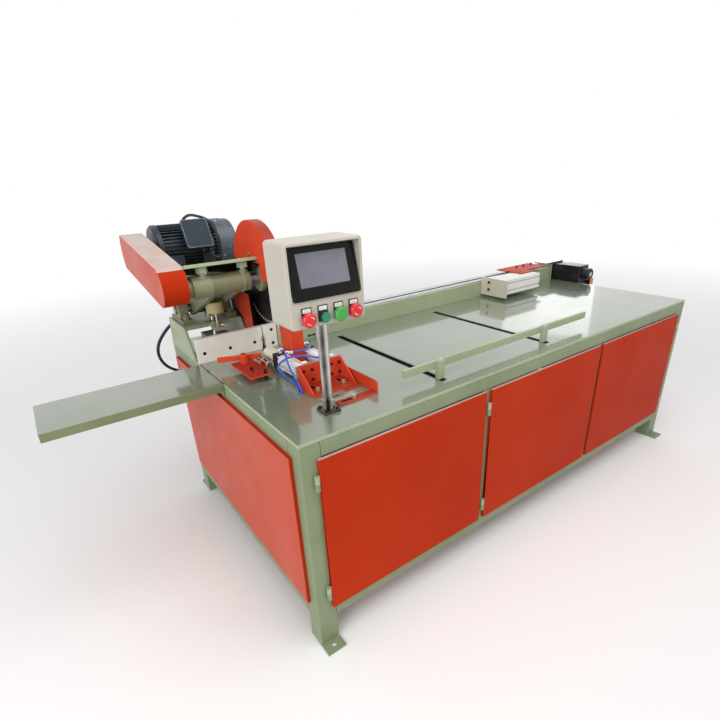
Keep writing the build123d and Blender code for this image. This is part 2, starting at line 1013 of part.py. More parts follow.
# Belt module: slotted profile, idler block and drive housing
drive_x = right + drive_out
idler_x = left + idler_in
module_x = (left + module_start + seat, right - module_end_in)
module_back = module_y + module_w
channel_y = (belt_y - channel_w / 2, belt_y + channel_w / 2)
module_z = (top + seat, top + module_h)
with BuildPart() as module_body:
    block(module_x, (module_y, module_back), module_z)
    block(module_x, channel_y, (top + channel_floor, top + module_h - channel_roof), Mode.SUBTRACT)
    gap_y = (belt_y - channel_slot / 2, belt_y + channel_slot / 2)
    block(module_x, gap_y, (top + module_h / 2, top + module_h), Mode.SUBTRACT)
    groove_y = (module_back - rear_groove_deep, module_back)
    for z in (top + rear_groove_low, top + rear_groove_high):
        groove_z = (z - rear_groove_w / 2, z + rear_groove_w / 2)
        block(module_x, groove_y, groove_z, Mode.SUBTRACT)
    idler_end = (left + idler_block_from, module_x[0] - seat)
    block(idler_end, (module_y, module_back), module_z)
    wheel_room = pulley_r + belt_t + wheel_gap
    idler_room = (max(idler_end[0] + end_skin, idler_x - wheel_room), idler_end[1])
    block(idler_room, channel_y, (belt_z - wheel_room, belt_z + wheel_room), Mode.SUBTRACT)
    idler_bore = (module_y + end_wall, module_back - end_wall)
    bar_y(idler_x, idler_bore, belt_z, idler_shaft_r + bore_gap, Mode.SUBTRACT)
    drive_end = (module_x[1] + seat, right + housing_end)
    block(drive_end, (module_y, module_back), (top + seat, top + housing_h))
    drive_room = (drive_end[0], drive_x + wheel_room)
    block(drive_room, channel_y, (belt_z - wheel_room, belt_z + wheel_room), Mode.SUBTRACT)
    bar_y(drive_x, (module_y, module_back - end_wall), belt_z, drive_shaft_r + bore_gap, Mode.SUBTRACT)
save(module_body, "module_body")

# Pulleys and the belt around them
with BuildPart() as idler_pulley:
    wheel_half = belt_w / 2 + wheel_lip
    bar_y(idler_x, (belt_y - wheel_half, belt_y + wheel_half), belt_z, pulley_r)
    shaft_y = (idler_bore[0] + shaft_end_gap, idler_bore[1] - shaft_end_gap)
    bar_y(idler_x, shaft_y, belt_z, idler_shaft_r)
save(idler_pulley, "idler_pulley")

gearbox_y = module_y - seat - servo_plate_t - seat
with BuildPart() as drive_pulley:
    bar_y(drive_x, (belt_y - wheel_half, belt_y + wheel_half), belt_z, pulley_r)
    bar_y(drive_x, (gearbox_y - gearbox_bore, shaft_y[1]), belt_z, drive_shaft_r)
save(drive_pulley, "drive_pulley")

belt_in = pulley_r + seat
with BuildPart() as timing_belt:
    belt_span = (belt_y - belt_w / 2, belt_y + belt_w / 2)
    belt_mid = (idler_x + drive_x) / 2
    for grow, mode in ((belt_t, Mode.ADD), (0, Mode.SUBTRACT)):
        with BuildSketch(Plane.XZ.offset(-belt_span[1])):
            with Locations((belt_mid, belt_z)):
                SlotCenterToCenter(drive_x - idler_x, 2 * (belt_in + grow))
        extrude(amount=belt_w, mode=mode)
save(timing_belt, "timing_belt")

# Servo bracket: plate in front of the drive housing and a flange over it
servo_plate_y = (module_y - seat - servo_plate_t, module_y - seat)
servo_z = (top - servo_plate_drop, top + housing_h + seat + servo_flange_t)
with BuildPart() as servo_bracket:
    plate_side = (right + seat, right + housing_end + servo_plate_past)
    block(plate_side, servo_plate_y, servo_z)
    flange_z = (top + housing_h + seat, servo_z[1])
    flange_span = (servo_plate_y[0], module_back - servo_flange_in)
    block((right - servo_flange_len, plate_side[1]), flange_span, flange_z)
    bar_y(drive_x, servo_plate_y, belt_z, drive_shaft_r + servo_hole_gap, Mode.SUBTRACT)
save(servo_bracket, "servo_bracket")

# Gearbox, servo motor, encoder cap and plug
with BuildPart() as servo_motor:
    box_half = gearbox_side / 2
    gearbox_front = gearbox_y - gearbox_len
    gearbox_z = (belt_z - box_half, belt_z + box_half)
    block((drive_x - box_half, drive_x + box_half), (gearbox_front, gearbox_y), gearbox_z)
    servo_half = servo_side / 2
    motor_front = gearbox_front - servo_len
    servo_high = (belt_z - servo_half, belt_z + servo_half)
    block((drive_x - servo_half, drive_x + servo_half), (motor_front, gearbox_front), servo_high)
    fillet(faces().sort_by(Axis.Y)[0].edges(), servo_round)
    rib_y = (motor_front + servo_rib_in, gearbox_front - servo_rib_in)
    for lift in (-servo_rib_gap, 0, servo_rib_gap):
        rib_z = (belt_z + lift - servo_rib_w / 2, belt_z + lift + servo_rib_w / 2)
        for x in (drive_x - servo_half, drive_x + servo_half):
            block((x - servo_rib_deep, x + servo_rib_deep), rib_y, rib_z, Mode.SUBTRACT)
    bar_y(drive_x, (motor_front - encoder_len, motor_front), belt_z, encoder_r)
    fillet(faces().sort_by(Axis.Y)[0].edges(), encoder_round)
    shaft_room = (gearbox_y - gearbox_bore - wheel_lip, gearbox_y)
    bar_y(drive_x, shaft_room, belt_z, drive_shaft_r + bore_gap, Mode.SUBTRACT)
    plug_x = (drive_x + servo_half, drive_x + servo_half + plug_out)
    plug_y = (motor_front - plug_front, motor_front + plug_back)
    plug_foot = belt_z - plug_low
    block(plug_x, plug_y, (plug_foot, plug_foot + plug_h))
    block(plug_x, (plug_y[1] - plug_root, plug_y[1]), (plug_foot, plug_foot + plug_root_h))
save(servo_motor, "servo_motor")

# Pusher: carriage, bracket, slotted beam and push plate
carriage_x = (right - carriage_in, right - carriage_in + carriage_len)
carriage_y = (module_y + carriage_inset, module_y + carriage_inset + carriage_w)
with BuildPart() as carriage:
    block(carriage_x, carriage_y, (top + module_h + slide_gap, push_top - seat))
    stem_y = (gap_y[0] + slide_gap, gap_y[1] - slide_gap)
    stem_low = belt_z + belt_in + belt_t + slide_gap
    block(carriage_x, stem_y, (stem_low, push_top - seat))
save(carriage, "carriage")

beam_x = (right - beam_in, right - beam_in + beam_len)
beam_y = (fence_y - beam_ahead, fence_y - beam_ahead + beam_w)
beam_z = (push_top - beam_h, push_top)
with BuildPart() as pusher_bracket:
    bracket_z = (push_top + seat, push_top + bracket_t)
    bracket_from = beam_x[1] - bracket_len
    block((bracket_from, beam_x[1]), (beam_y[0] + bracket_front_in, beam_y[1]), bracket_z)
    rear_strip = (beam_y[1] - bracket_lap, carriage_y[1] - bracket_lap)
    block((bracket_from, carriage_x[1] - bracket_end_in), rear_strip, bracket_z)
    for along in (bracket_bolt_one, bracket_bolt_two, bracket_bolt_three):
        bolt_high = (bracket_z[1], bracket_z[1] + bolt_head_h)
        bar_z(carriage_x[0] + along, module_y + bracket_bolt_y, bolt_high, bolt_head_r)
save(pusher_bracket, "pusher_bracket")

cell = beam_h / 2
t_room = t_slot_deep - t_slot_lip
with BuildPart() as pusher_beam:
    with BuildSketch(Plane.YZ.offset(beam_x[0] + seat)):
        with Locations(((beam_y[0] + beam_y[1]) / 2, (beam_z[0] + beam_z[1]) / 2)):
            Rectangle(beam_w, beam_h)
            for y in (-cell, 0, cell):
                for way in (-1, 1):
                    with Locations((y, way * (beam_h / 2 - t_slot_deep / 2))):
                        Rectangle(t_slot_w, t_slot_deep, mode=Mode.SUBTRACT)
                    with Locations((y, way * (beam_h / 2 - t_slot_lip - t_room / 2))):
                        Rectangle(t_slot_in, t_room, mode=Mode.SUBTRACT)
                    with Locations((y, way * cell / 2)):
                        Circle(core_hole_r, mode=Mode.SUBTRACT)
            for z in (-cell / 2, cell / 2):
                for way in (-1, 1):
                    with Locations((way * (beam_w / 2 - t_slot_deep / 2), z)):
                        Rectangle(t_slot_deep, t_slot_w, mode=Mode.SUBTRACT)
                    with Locations((way * (beam_w / 2 - t_slot_lip - t_room / 2), z)):
                        Rectangle(t_room, t_slot_in, mode=Mode.SUBTRACT)
    extrude(amount=beam_len - seat)
save(pusher_beam, "pusher_beam")

push_x = (beam_x[0] - push_plate_t, beam_x[0])
push_y = (fence_y - push_plate_ahead, fence_y - push_plate_ahead + push_plate_w)
push_z = (top + push_plate_low, top + push_plate_low + push_plate_h)
with BuildPart() as pusher_plate:
    block(push_x, push_y, push_z)
    for way in (-1, 1):
        bolt_z = (beam_z[0] + beam_z[1]) / 2 + way * cell / 2
        bar_x((push_x[0] - bolt_head_h, push_x[0]), beam_y[1] - cell / 2, bolt_z, bolt_head_r)
save(pusher_plate, "pusher_plate")

# Front guide bar on two posts that run in the table slots
guide_y = (front + guide_front, front + guide_front + guide_bar_t)
guide_z = (top + guide_bar_low, top + guide_bar_low + guide_bar_h)
with BuildPart() as guide_bar:
    block((left + guide_from, left + guide_to), guide_y, guide_z)
    for slot_x in (left + guide_slot_one, left + guide_slot_two):
        x = (slot_x - guide_post / 2, slot_x + guide_post / 2)
        y = (guide_y[0] - guide_post_deep, guide_y[0])
        block(x, y, (top + slide_gap, guide_z[1] + guide_post_over))
        bolt_y = guide_y[0] - guide_post_deep / 2
        nut_z = (top - plate_t - slide_gap - t_nut_t, top - plate_t - slide_gap)
        bar_z(slot_x, bolt_y, (nut_z[0], top + slide_gap), t_bolt_r)
        block(x, (bolt_y - guide_post / 2, bolt_y + guide_post / 2), nut_z)
        cap_z = guide_z[1] + guide_post_over
        hex_z(slot_x, bolt_y, (cap_z, cap_z + guide_nut_h), guide_nut)
save(guide_bar, "guide_bar")

# Control post: tube in a socket on a base plate
post_at = (left + post_x, front + post_y)
console_z = (top + console_low, top + console_low + console_h)
with BuildPart() as control_post:
    base_half = post_base / 2
    base_y = (post_at[1] - base_half, post_at[1] + base_half)
    block((post_at[0] - base_half, post_at[0] + base_half), base_y, (top + seat, top + post_base_t))
    bar_z(*post_at, (top + seat, top + post_socket_h), post_socket_r)
    bar_z(*post_at, (top + seat, console_z[0] - seat), post_r)
    bar_z(*post_at, (top + seat, console_z[0] - seat), post_r - sheet, Mode.SUBTRACT)
save(control_post, "control_post")

# Console: hollow box with a leaning pocket for the operator panel
console_x = (left + console_from, left + console_from + console_w)
console_y = (front + console_front, front + console_front + console_deep)
wedge_z = (console_z[0] + wedge_low, console_z[0] + wedge_high)
hmi_plane = Plane(
    origin=(sum(console_x) / 2, console_y[0] + wedge_deep / 2, sum(wedge_z) / 2),
    x_dir=(1, 0, 0),
    z_dir=(0, -math.cos(hmi_lean), math.sin(hmi_lean)),
)
button_z = console_z[0] + button_up
button_x = [left + button_first + count * button_step for count in range(4)]
with BuildPart() as console:
    block(console_x, console_y, console_z)
    fillet(edges().filter_by(Axis.Y), console_round)
    fillet(faces().sort_by(Axis.Y)[0].edges(), console_rim)
    wedge = (
        (console_y[0] - seat, wedge_z[0]),
        (console_y[0], wedge_z[0]),
        (console_y[0] + wedge_deep, wedge_z[1]),
        (console_y[0] - seat, wedge_z[1]),
    )
    plate_x(wedge, (console_x[0] + wedge_in, console_x[1] - wedge_in), Mode.SUBTRACT)
    inner_top = console_z[1] - console_wall
    slope_run = (inner_top - wedge_z[0]) * math.tan(hmi_lean)
    slope_end = console_y[0] + console_wall / math.cos(hmi_lean) + slope_run
    cavity = (
        (console_y[0] + console_wall, console_z[0] + console_wall),
        (console_y[0] + console_wall, wedge_z[0]),
        (slope_end, inner_top),
        (console_y[1], inner_top),
        (console_y[1], console_z[0] + console_wall),
    )
    plate_x(cavity, (console_x[0] + console_wall, console_x[1] - console_wall), Mode.SUBTRACT)
    case_w = hmi_w - 2 * hmi_case_in
    case_h = hmi_h - 2 * hmi_case_in
    with BuildSketch(hmi_plane):
        Rectangle(case_w + 2 * hmi_case_gap, case_h + 2 * hmi_case_gap)
    extrude(amount=-2 * console_wall, mode=Mode.SUBTRACT)
    for x in button_x:
        wall_y = (console_y[0], console_y[0] + console_wall)
        bar_y(x, wall_y, button_z, button_stem_r + slide_gap, Mode.SUBTRACT)
    cover_x = (console_x[0] + console_wall + seat, console_x[1] - console_wall - seat)
    cover_z = (console_z[0] + console_wall + seat, inner_top - seat)
    block(cover_x, (console_y[1] - cover_t, console_y[1]), cover_z)
save(console, "console")

# Operator panel: bezel, sunk screen and the case behind it
with BuildPart() as hmi_panel:
    with BuildSketch(hmi_plane.offset(seat)):
        RectangleRounded(hmi_w, hmi_h, hmi_round)
    extrude(amount=hmi_t)
    with BuildSketch(hmi_plane.offset(seat + hmi_t)):
        with Locations((0, screen_up)):
            Rectangle(screen_w, screen_h)
    extrude(amount=-screen_deep, mode=Mode.SUBTRACT)
    with BuildSketch(hmi_plane.offset(seat)):
        Rectangle(case_w, case_h)
    extrude(amount=-hmi_case_deep)
save(hmi_panel, "hmi_panel")

# Legend holders and button collars
with BuildPart() as legend_holders:
    for x in button_x:
        plate_at = (console_y[0] - seat - legend_t, console_y[0] - seat)
        legend_z = (button_z - legend_below, button_z - legend_below + legend_h)
        block((x - legend_w / 2, x + legend_w / 2), plate_at, legend_z)
        collar_at = (plate_at[0] - button_collar_t, plate_at[1])
        bar_y(x, collar_at, button_z, button_collar_r)
        bar_y(x, collar_at, button_z, button_stem_r + slide_gap, Mode.SUBTRACT)
save(legend_holders, "legend_holders")

# Push buttons with stems and inside collars
button_names = ("button_stop", "button_start", "button_run", "button_emergency")
for name, x in zip(button_names, button_x):
    head_r = flush_r if name == "button_start" else mushroom_r
    head_t = flush_t if name == "button_start" else mushroom_t
    head_round = flush_round if name == "button_start" else mushroom_round
    head_back = collar_at[0] - button_travel - slide_gap
    wall_back = console_y[0] + console_wall
    with BuildPart() as button:
        bar_y(x, (head_back - head_t, head_back), button_z, head_r)
        fillet(faces().sort_by(Axis.Y)[0].edges(), head_round)
        bar_y(x, (head_back, wall_back + button_tail), button_z, button_stem_r)
        bar_y(x, (wall_back + slide_gap, wall_back + button_stop_t), button_z, button_stop_r)
    save(button, name)

# Clamp bracket: upright plate, slotted base, gussets, side wall and foot strips
clamp_x = (left + clamp_from, left + clamp_to)
clamp_y = (clamp_face, clamp_face + clamp_plate_t)
clamp_top = top + clamp_h
base_front = clamp_y[0] - clamp_base_len
base_z = (top + seat, top + clamp_plate_t)
clamp_axis = top + clamp_axis_h
clamp_rods = (left + clamp_one, left + clamp_two)
base_slots = (left + clamp_slot_one, left + clamp_slot_two)
wall_x = (left + side_wall_x, left + side_wall_x + side_wall_t)
strip_z = (top + seat, top + strip_t)
with BuildPart() as clamp_bracket:
    block(clamp_x, clamp_y, (top + seat, clamp_top))
    block(clamp_x, (base_front, clamp_y[0]), base_z)
    slot_from = base_front + clamp_slot_in
    for x in base_slots:
        slot_z(x, (slot_from, slot_from + clamp_slot_len), base_z, clamp_slot_w)
    gusset = (
        (clamp_y[0], clamp_top),
        (base_front + gusset_in, base_z[1]),
        (base_front + gusset_in, base_z[0]),
        (clamp_y[0], base_z[0]),
    )
    for x in ((clamp_x[0], clamp_x[0] + gusset_t), (clamp_x[1] - gusset_t, clamp_x[1])):
        plate_x(gusset, x)
    for x in clamp_rods:
        bar_y(x, clamp_y, clamp_axis, clamp_rod_hole_r, Mode.SUBTRACT)
    wall_from = front + side_wall_from
    wall_top = top + side_wall_h
    wall = (
        (wall_from, top + seat),
        (wall_from, wall_top - side_wall_drop),
        (wall_from + side_wall_cut, wall_top),
        (clamp_y[0], wall_top),
        (clamp_y[0], top + seat),
    )
    plate_x(wall, wall_x)
    strip_y = (wall_from - strip_ahead, wall_from - strip_ahead + strip_w)
    strip_mid = (strip_y[0] + strip_y[1]) / 2
    block((left + strip_from, wall_x[0]), strip_y, strip_z)
    with BuildSketch(Plane.XY.offset(strip_z[0])):
        with Locations((left + strip_slot_x, strip_mid)):
            SlotOverall(strip_slot_len, strip_slot_w)
    extrude(amount=strip_t, mode=Mode.SUBTRACT)
    block((left + link_from, wall_x[0]), (base_front - link_w, base_front), strip_z)
save(clamp_bracket, "clamp_bracket")

# Clamp cylinders: caps, barrel, tie rods and push-in fittings
tail_y = (clamp_y[1] + seat, clamp_y[1] + seat + rear_cap_t)
barrel_y = (tail_y[1], tail_y[1] + barrel_len)
nose_y = (barrel_y[1], barrel_y[1] + front_cap_t)
half_cap = cap_side / 2
fitting_z = clamp_axis + half_cap
with BuildPart() as clamp_cylinders:
    for x in clamp_rods:
        for cap_y in (tail_y, nose_y):
            block((x - half_cap, x + half_cap), cap_y, (clamp_axis - half_cap, clamp_axis + half_cap))
        bar_y(x, barrel_y, clamp_axis, barrel_r)
        for way in (-tie_rod_out, tie_rod_out):
            for lift in (-tie_rod_out, tie_rod_out):
                bar_y(x + way, (tail_y[0], nose_y[1]), clamp_axis + lift, tie_rod_r)
        bar_y(x, barrel_y, clamp_axis, ram_bore_r, Mode.SUBTRACT)
        bar_y(x, nose_y, clamp_axis, ram_rod_r + bore_gap, Mode.SUBTRACT)
        for y in (tail_y[0] + rear_cap_t / 2, nose_y[0] + front_cap_t / 2):
            bar_z(x, y, (fitting_z, fitting_z + fitting_h), fitting_r)
            bar_x((x - fitting_out, x + fitting_out), y, fitting_z + fitting_h, fitting_r)
save(clamp_cylinders, "clamp_cylinders")

# Clamp rams: piston, rod and pad
for name, x in zip(("clamp_ram_left", "clamp_ram_right"), clamp_rods):
    with BuildPart() as ram:
        pad_y = (nose_y[1] + pad_gap, nose_y[1] + pad_gap + pad_len)
        bar_y(x, pad_y, clamp_axis, pad_r)
        fillet(edges().filter_by(GeomType.CIRCLE), pad_round)
        ram_from = barrel_y[0] + piston_start
        bar_y(x, (ram_from, pad_y[0]), clamp_axis, ram_rod_r)
        bar_y(x, (ram_from, ram_from + piston_t), clamp_axis, ram_bore_r - bore_gap)
    save(ram, name)

# Side presser: raised plate with hub pin, small cylinder and levelling screw
presser_z = (top + presser_up, top + presser_up + presser_t)
presser_y = (fence_y - presser_ahead, fence_y - presser_ahead + presser_len)
hub_at = (left + hub_x, fence_y - hub_ahead)
hub_z = (presser_z[1] + slide_gap, presser_z[1] + hub_h)
rod_z = presser_z[1] + shoe_low + shoe_h / 2
rod_x = left + small_cyl_x
small_y = (fence_y - small_cyl_ahead, fence_y - small_cyl_ahead + small_cyl_len)
slit_x = left + presser_slot_x
slit_y = (fence_y - presser_slot_ahead, fence_y - presser_slot_ahead + presser_slot_len)
slit_mid = (slit_y[0] + slit_y[1]) / 2
with BuildPart() as presser_base:
    block((left + presser_from, left + presser_to), presser_y, presser_z)
    lug_starts = (small_y[0] + small_lug_one, small_y[0] + small_lug_two)
    wing_y = (lug_starts[0], lug_starts[1] + small_lug_t)
    block((left + presser_to, rod_x + small_lug_out), wing_y, presser_z)
    slot_z(slit_x, slit_y, presser_z, presser_slot_w)
    for spot in ((slit_x, slit_mid), hub_at):
        bar_z(*spot, (top + seat, presser_z[0]), spacer_r)
    bar_z(*hub_at, (presser_z[0], hub_z[1] + slide_gap), hub_pin_r)
    bar_z(*hub_at, (hub_z[1] + slide_gap, hub_z[1] + hub_cap_h), hub_cap_r)
    level_at = (left + level_x, presser_y[0] + level_in)
    bar_z(*level_at, (top + seat, top + level_foot_h), level_foot_r)
    bar_z(*level_at, (top + level_foot_h, presser_z[1] + level_over), level_r)
    ear_x = (rod_x - small_lug_in, rod_x + small_lug_out)
    for y in lug_starts:
        block(ear_x, (y, y + small_lug_t), (presser_z[0], rod_z + small_lug_h))
    bar_y(rod_x, small_y, rod_z, small_cyl_r)
    rod_hole = (small_y[0] + small_rod_hole, small_y[1])
    bar_y(rod_x, rod_hole, rod_z, small_rod_r + bore_gap, Mode.SUBTRACT)
save(presser_base, "presser_base")

shoe_plane = Plane(
    origin=(*hub_at, presser_z[1] + shoe_low),
    x_dir=(math.cos(math.radians(shoe_slant)), -math.sin(math.radians(shoe_slant)), 0),
    z_dir=(0, 0, 1),
)
with BuildPart() as presser_shoe:
    bar_z(*hub_at, hub_z, hub_r)
    with BuildSketch(shoe_plane):
        with Locations(((shoe_right - shoe_left) / 2, shoe_offset)):
            Rectangle(shoe_left + shoe_right, shoe_t)
        with Locations((0, shoe_offset / 2)):
            Rectangle(shoe_neck, shoe_offset)
    extrude(amount=shoe_h)
    bar_z(*hub_at, hub_z, hub_pin_r + bore_gap, Mode.SUBTRACT)
save(presser_shoe, "presser_shoe")

slant = math.radians(shoe_slant)
nose_gap = shoe_offset - shoe_t / 2 - small_rod_r - slide_gap
rod_tip = hub_at[1] + (nose_gap - (rod_x - hub_at[0]) * math.sin(slant)) / math.cos(slant)
with BuildPart() as presser_rod:
    bar_y(rod_x, (small_y[0] + small_rod_in, rod_tip), rod_z, small_rod_r)
    with Locations((rod_x, rod_tip, rod_z)):
        Sphere(small_rod_r)
save(presser_rod, "presser_rod")

# Guards fixed to the table: front column and dust chute
with BuildPart() as fixed_guards:
    column_x = (blade_x - column_w / 2, blade_x + column_w / 2)
    column_y = (fence_y - column_ahead, fence_y - column_ahead + column_deep)
    column_z = (top + seat, top + column_h)
    block(column_x, column_y, column_z)
    block(
        (column_x[0] + guard_sheet, column_x[1] - guard_sheet),
        (column_y[0] + guard_sheet, column_y[1]),
        column_z,
        Mode.SUBTRACT,
    )
    chute_x = (blade_x - chute_w / 2, blade_x + chute_w / 2)
    chute_inner_x = (chute_x[0] + guard_sheet, chute_x[1] - guard_sheet)
    chute_y = fence_y + chute_front
    for skin, span, mode in ((0, chute_x, Mode.ADD), (guard_sheet, chute_inner_x, Mode.SUBTRACT)):
        chute = (
            (chute_y, column_z[0]),
            (chute_y + chute_low_deep - skin, column_z[0]),
            (chute_y + chute_bend_deep - skin, top + chute_bend_h + skin),
            (chute_y + chute_top_deep - skin, top + chute_flare_h + skin),
            (chute_y + chute_top_deep - skin, column_z[1]),
            (chute_y, column_z[1]),
        )
        plate_x(chute, span, mode)
save(fixed_guards, "fixed_guards")

# Saw stand: side plates, top plate, rear strip and the bumper's ledge
stand_x = (left, left + stand_w)
stand_top_y = (back - stand_top_front, back - stand_top_back)
cheek = (
    (back - stand_low_front, top + seat),
    (back - stand_low_back, top + seat),
    (stand_top_y[1], stand_top),
    (stand_top_y[0], stand_top),
)
with BuildPart() as saw_stand:
    plate_x(cheek, (stand_x[0], stand_x[0] + stand_t))
    plate_x(cheek, (stand_x[1] - stand_t, stand_x[1]))
    stand_top_z = (stand_top - stand_top_t, stand_top)
    block(stand_x, stand_top_y, stand_top_z)
    strip_low = stand_top_z[0] - stand_strip_h
    block(stand_x, (stand_top_y[1] - stand_t, stand_top_y[1]), (strip_low, stand_top))
    open_x = (head_at[0] - stand_open_w / 2, head_at[0] + stand_open_w / 2)
    open_y = (head_at[1] - stand_open_len / 2, head_at[1] + stand_open_len / 2)
    block(open_x, open_y, stand_top_z, Mode.SUBTRACT)
    ledge_z = (stand_top_z[0] - ledge_t, stand_top_z[0])
    ledge_x = (bumper_at[0] - ledge_w / 2, bumper_at[0] + ledge_w / 2)
    ledge_back = stand_top_y[0] + ledge_lap
    block(ledge_x, (bumper_at[1] - ledge_ahead, ledge_back), ledge_z)
    block(ledge_x, (stand_top_y[0] - ledge_lap, ledge_back), (ledge_z[0], stand_top))
save(saw_stand, "saw_stand")

# Pillow blocks with their fixing nuts
with BuildPart() as pillow_blocks:
    foot_z = (stand_top + seat, stand_top + block_base_t)
    washer_z = (foot_z[1], foot_z[1] + washer_t)
    nut_z = (washer_z[1], washer_z[1] + block_nut_h)
    toe_z = foot_z[1] + block_toe_r
    for x in (left + block_one, left + block_two):
        base_x = (x - block_base_w / 2, x + block_base_w / 2)
        block(base_x, (pivot_y - block_base / 2, pivot_y + block_base / 2), foot_z)
        hump = (
            (pivot_y, pivot_z, block_r),
            (pivot_y - block_toe_out, toe_z, block_toe_r),
            (pivot_y + block_toe_out, toe_z, block_toe_r),
        )
        hull_x(hump, (base_x[0] + block_inset, base_x[1] - block_inset))
        for y in (pivot_y - block_bolt_out, pivot_y + block_bolt_out):
            bar_z(x, y, washer_z, washer_r)
            hex_z(x, y, nut_z, block_nut)
            bar_z(x, y, (nut_z[1], nut_z[1] + block_stud_h), block_stud_r)
        bar_x(base_x, pivot_y, pivot_z, pivot_r + bore_gap, Mode.SUBTRACT)
save(pillow_blocks, "pillow_blocks")

with BuildPart() as bumper:
    pad_z = (top + bumper_up, top + bumper_up + bumper_h)
    bar_z(*bumper_at, pad_z, bumper_r)
    fillet(edges().sort_by(Axis.Z)[-1], bumper_round)
    bar_z(*bumper_at, (pad_z[1] - bumper_dish, pad_z[1]), bumper_dish_r, Mode.SUBTRACT)
    stud_low = ledge_z[1] + seat
    bar_z(*bumper_at, (stud_low, pad_z[0]), bumper_stud_r)
    hex_z(*bumper_at, (stud_low, stud_low + bumper_nut_h), bumper_nut)
save(bumper, "bumper")

# Head cylinder through the table, under the head's lug
head_cap_z = (top + head_cap_up, top + head_cap_up + head_cap_t)
head_low = top - head_cyl_below
head_travel = 2 * lug_reach * math.sin(lug_lift)
with BuildPart() as head_cylinder:
    cap_half = head_cap / 2
    square_x = (head_at[0] - cap_half, head_at[0] + cap_half)
    square_y = (head_at[1] - cap_half, head_at[1] + cap_half)
    block(square_x, square_y, head_cap_z)
    block(square_x, square_y, (head_low, head_low + head_tail_t))
    bar_z(*head_at, (head_low, head_cap_z[0]), head_cyl_r)
    rim_half = head_flange / 2
    rim_x = (head_at[0] - rim_half, head_at[0] + rim_half)
    rim_y = (head_at[1] - rim_half, head_at[1] + rim_half)
    block(rim_x, rim_y, (top + seat, top + head_flange_t))
    bore_r = head_cyl_r - head_cyl_wall
    bar_z(*head_at, (head_low + head_floor, head_cap_z[0]), bore_r, Mode.SUBTRACT)
    bar_z(*head_at, head_cap_z, head_rod_r + bore_gap, Mode.SUBTRACT)
save(head_cylinder, "head_cylinder")

lug_x = (head_at[0] - lug_t / 2, head_at[0] + lug_t / 2)
fork_gap_x = (lug_x[0] - fork_gap, lug_x[1] + fork_gap)
fork_x = (fork_gap_x[0] - fork_t, fork_gap_x[1] + fork_t)
fork_y = (head_at[1] - fork_deep / 2, head_at[1] + fork_deep / 2)
fork_z = (lug_z - fork_below, lug_z + fork_above)
with BuildPart() as head_rod:
    piston_low = head_low + head_travel + head_piston_up
    bar_z(*head_at, (piston_low, piston_low + head_piston_t), bore_r - bore_gap)
    bar_z(*head_at, (piston_low, fork_z[0]), head_rod_r)
    block(fork_x, fork_y, fork_z)
    block(fork_gap_x, fork_y, (fork_z[0] + fork_root, fork_z[1]), Mode.SUBTRACT)
    with BuildSketch(Plane.YZ.offset(fork_x[0])):
        with Locations((head_at[1], lug_z)):
            SlotOverall(2 * lug_pin_r + fork_slot_len, 2 * lug_pin_r + fork_slot_gap)
    extrude(amount=fork_x[1] - fork_x[0], mode=Mode.SUBTRACT)
save(head_rod, "head_rod")

# Head casting: bearing housing, arms, pivot sleeve, lug and stop web
housing_x = (left + housing_from, left + housing_to)
arbor = (arbor_y, arbor_z)
pivot = (pivot_y, pivot_z)
arm_left = (left + arm_one, left + arm_one + arm_one_t)
arm_right = (left + arm_two, left + arm_two + arm_two_t)
arm_span = (arm_left[0], arm_right[1])
turn = math.radians(swing)
stop_dy = bumper_at[1] - pivot_y
stop_dz = top + bumper_up + bumper_h + slide_gap - pivot_z
stop_plane = Plane(
    origin=(
        (arm_left[1] + arm_right[0]) / 2,
        pivot_y + stop_dy * math.cos(turn) + stop_dz * math.sin(turn),
        pivot_z - stop_dy * math.sin(turn) + stop_dz * math.cos(turn),
    ),
    x_dir=(1, 0, 0),
    z_dir=(0, math.sin(turn), math.cos(turn)),
)
jack_y = arbor_y - jack_ahead
jack_top = arbor_z + jack_boss_up
with BuildPart() as head_casting:
    bar_x(housing_x, *arbor, housing_r)
    bar_x((housing_x[0], housing_x[0] + housing_left), *arbor, housing_end_r)
    right_band = housing_x[1] - housing_right
    bar_x((right_band - housing_ring, right_band), *arbor, housing_end_r)
    bar_x((right_band, housing_x[1]), *arbor, housing_band_r)
    bar_x((left + spigot_from, housing_x[0]), *arbor, spigot_r)
    for x in (arm_left, arm_right):
        corners = (
            (*arbor, housing_r - arm_root_in),
            (*pivot, arm_pivot_r),
            (pivot_y - arm_tail_ahead, pivot_z + arm_tail_up, arm_tail_r),
        )
        hull_x(corners, x)
        window = (
            (arbor_y + window_front, arbor_z - window_drop, window_front_r),
            (pivot_y - window_rear, pivot_z + window_up, window_rear_r),
        )
        hull_x(window, x, Mode.SUBTRACT)
    bar_x(arm_span, *pivot, sleeve_r)
    hull_x(((*pivot, lug_root_r), (lug_y, lug_z, lug_r)), lug_x)
    bar_x((lug_x[0] - fork_t, lug_x[1] + fork_t), lug_y, lug_z, lug_pin_r)
    with BuildSketch(stop_plane):
        Rectangle(arm_right[0] - arm_left[1], stop_w)
    extrude(amount=stop_t)
    for x in (left + jack_one, left + jack_two):
        bar_z(x, jack_y, (arbor_z, jack_top), jack_boss_r)
    bar_x((left + spigot_from, housing_x[1]), *arbor, spindle_r + bore_gap, Mode.SUBTRACT)
    core_x = (housing_x[0] + bearing_len, housing_x[1] - bearing_len)
    bar_x(core_x, *arbor, spindle_r + bearing_step, Mode.SUBTRACT)
    bar_x(arm_span, *pivot, pivot_r, Mode.SUBTRACT)
save(head_casting, "head_casting")

with BuildPart() as pivot_shaft:
    bar_x((left + shaft_in, left + stand_w - shaft_end_in), *pivot, pivot_r)
    chamfer(edges().filter_by(GeomType.CIRCLE), shaft_chamfer)
save(pivot_shaft, "pivot_shaft")

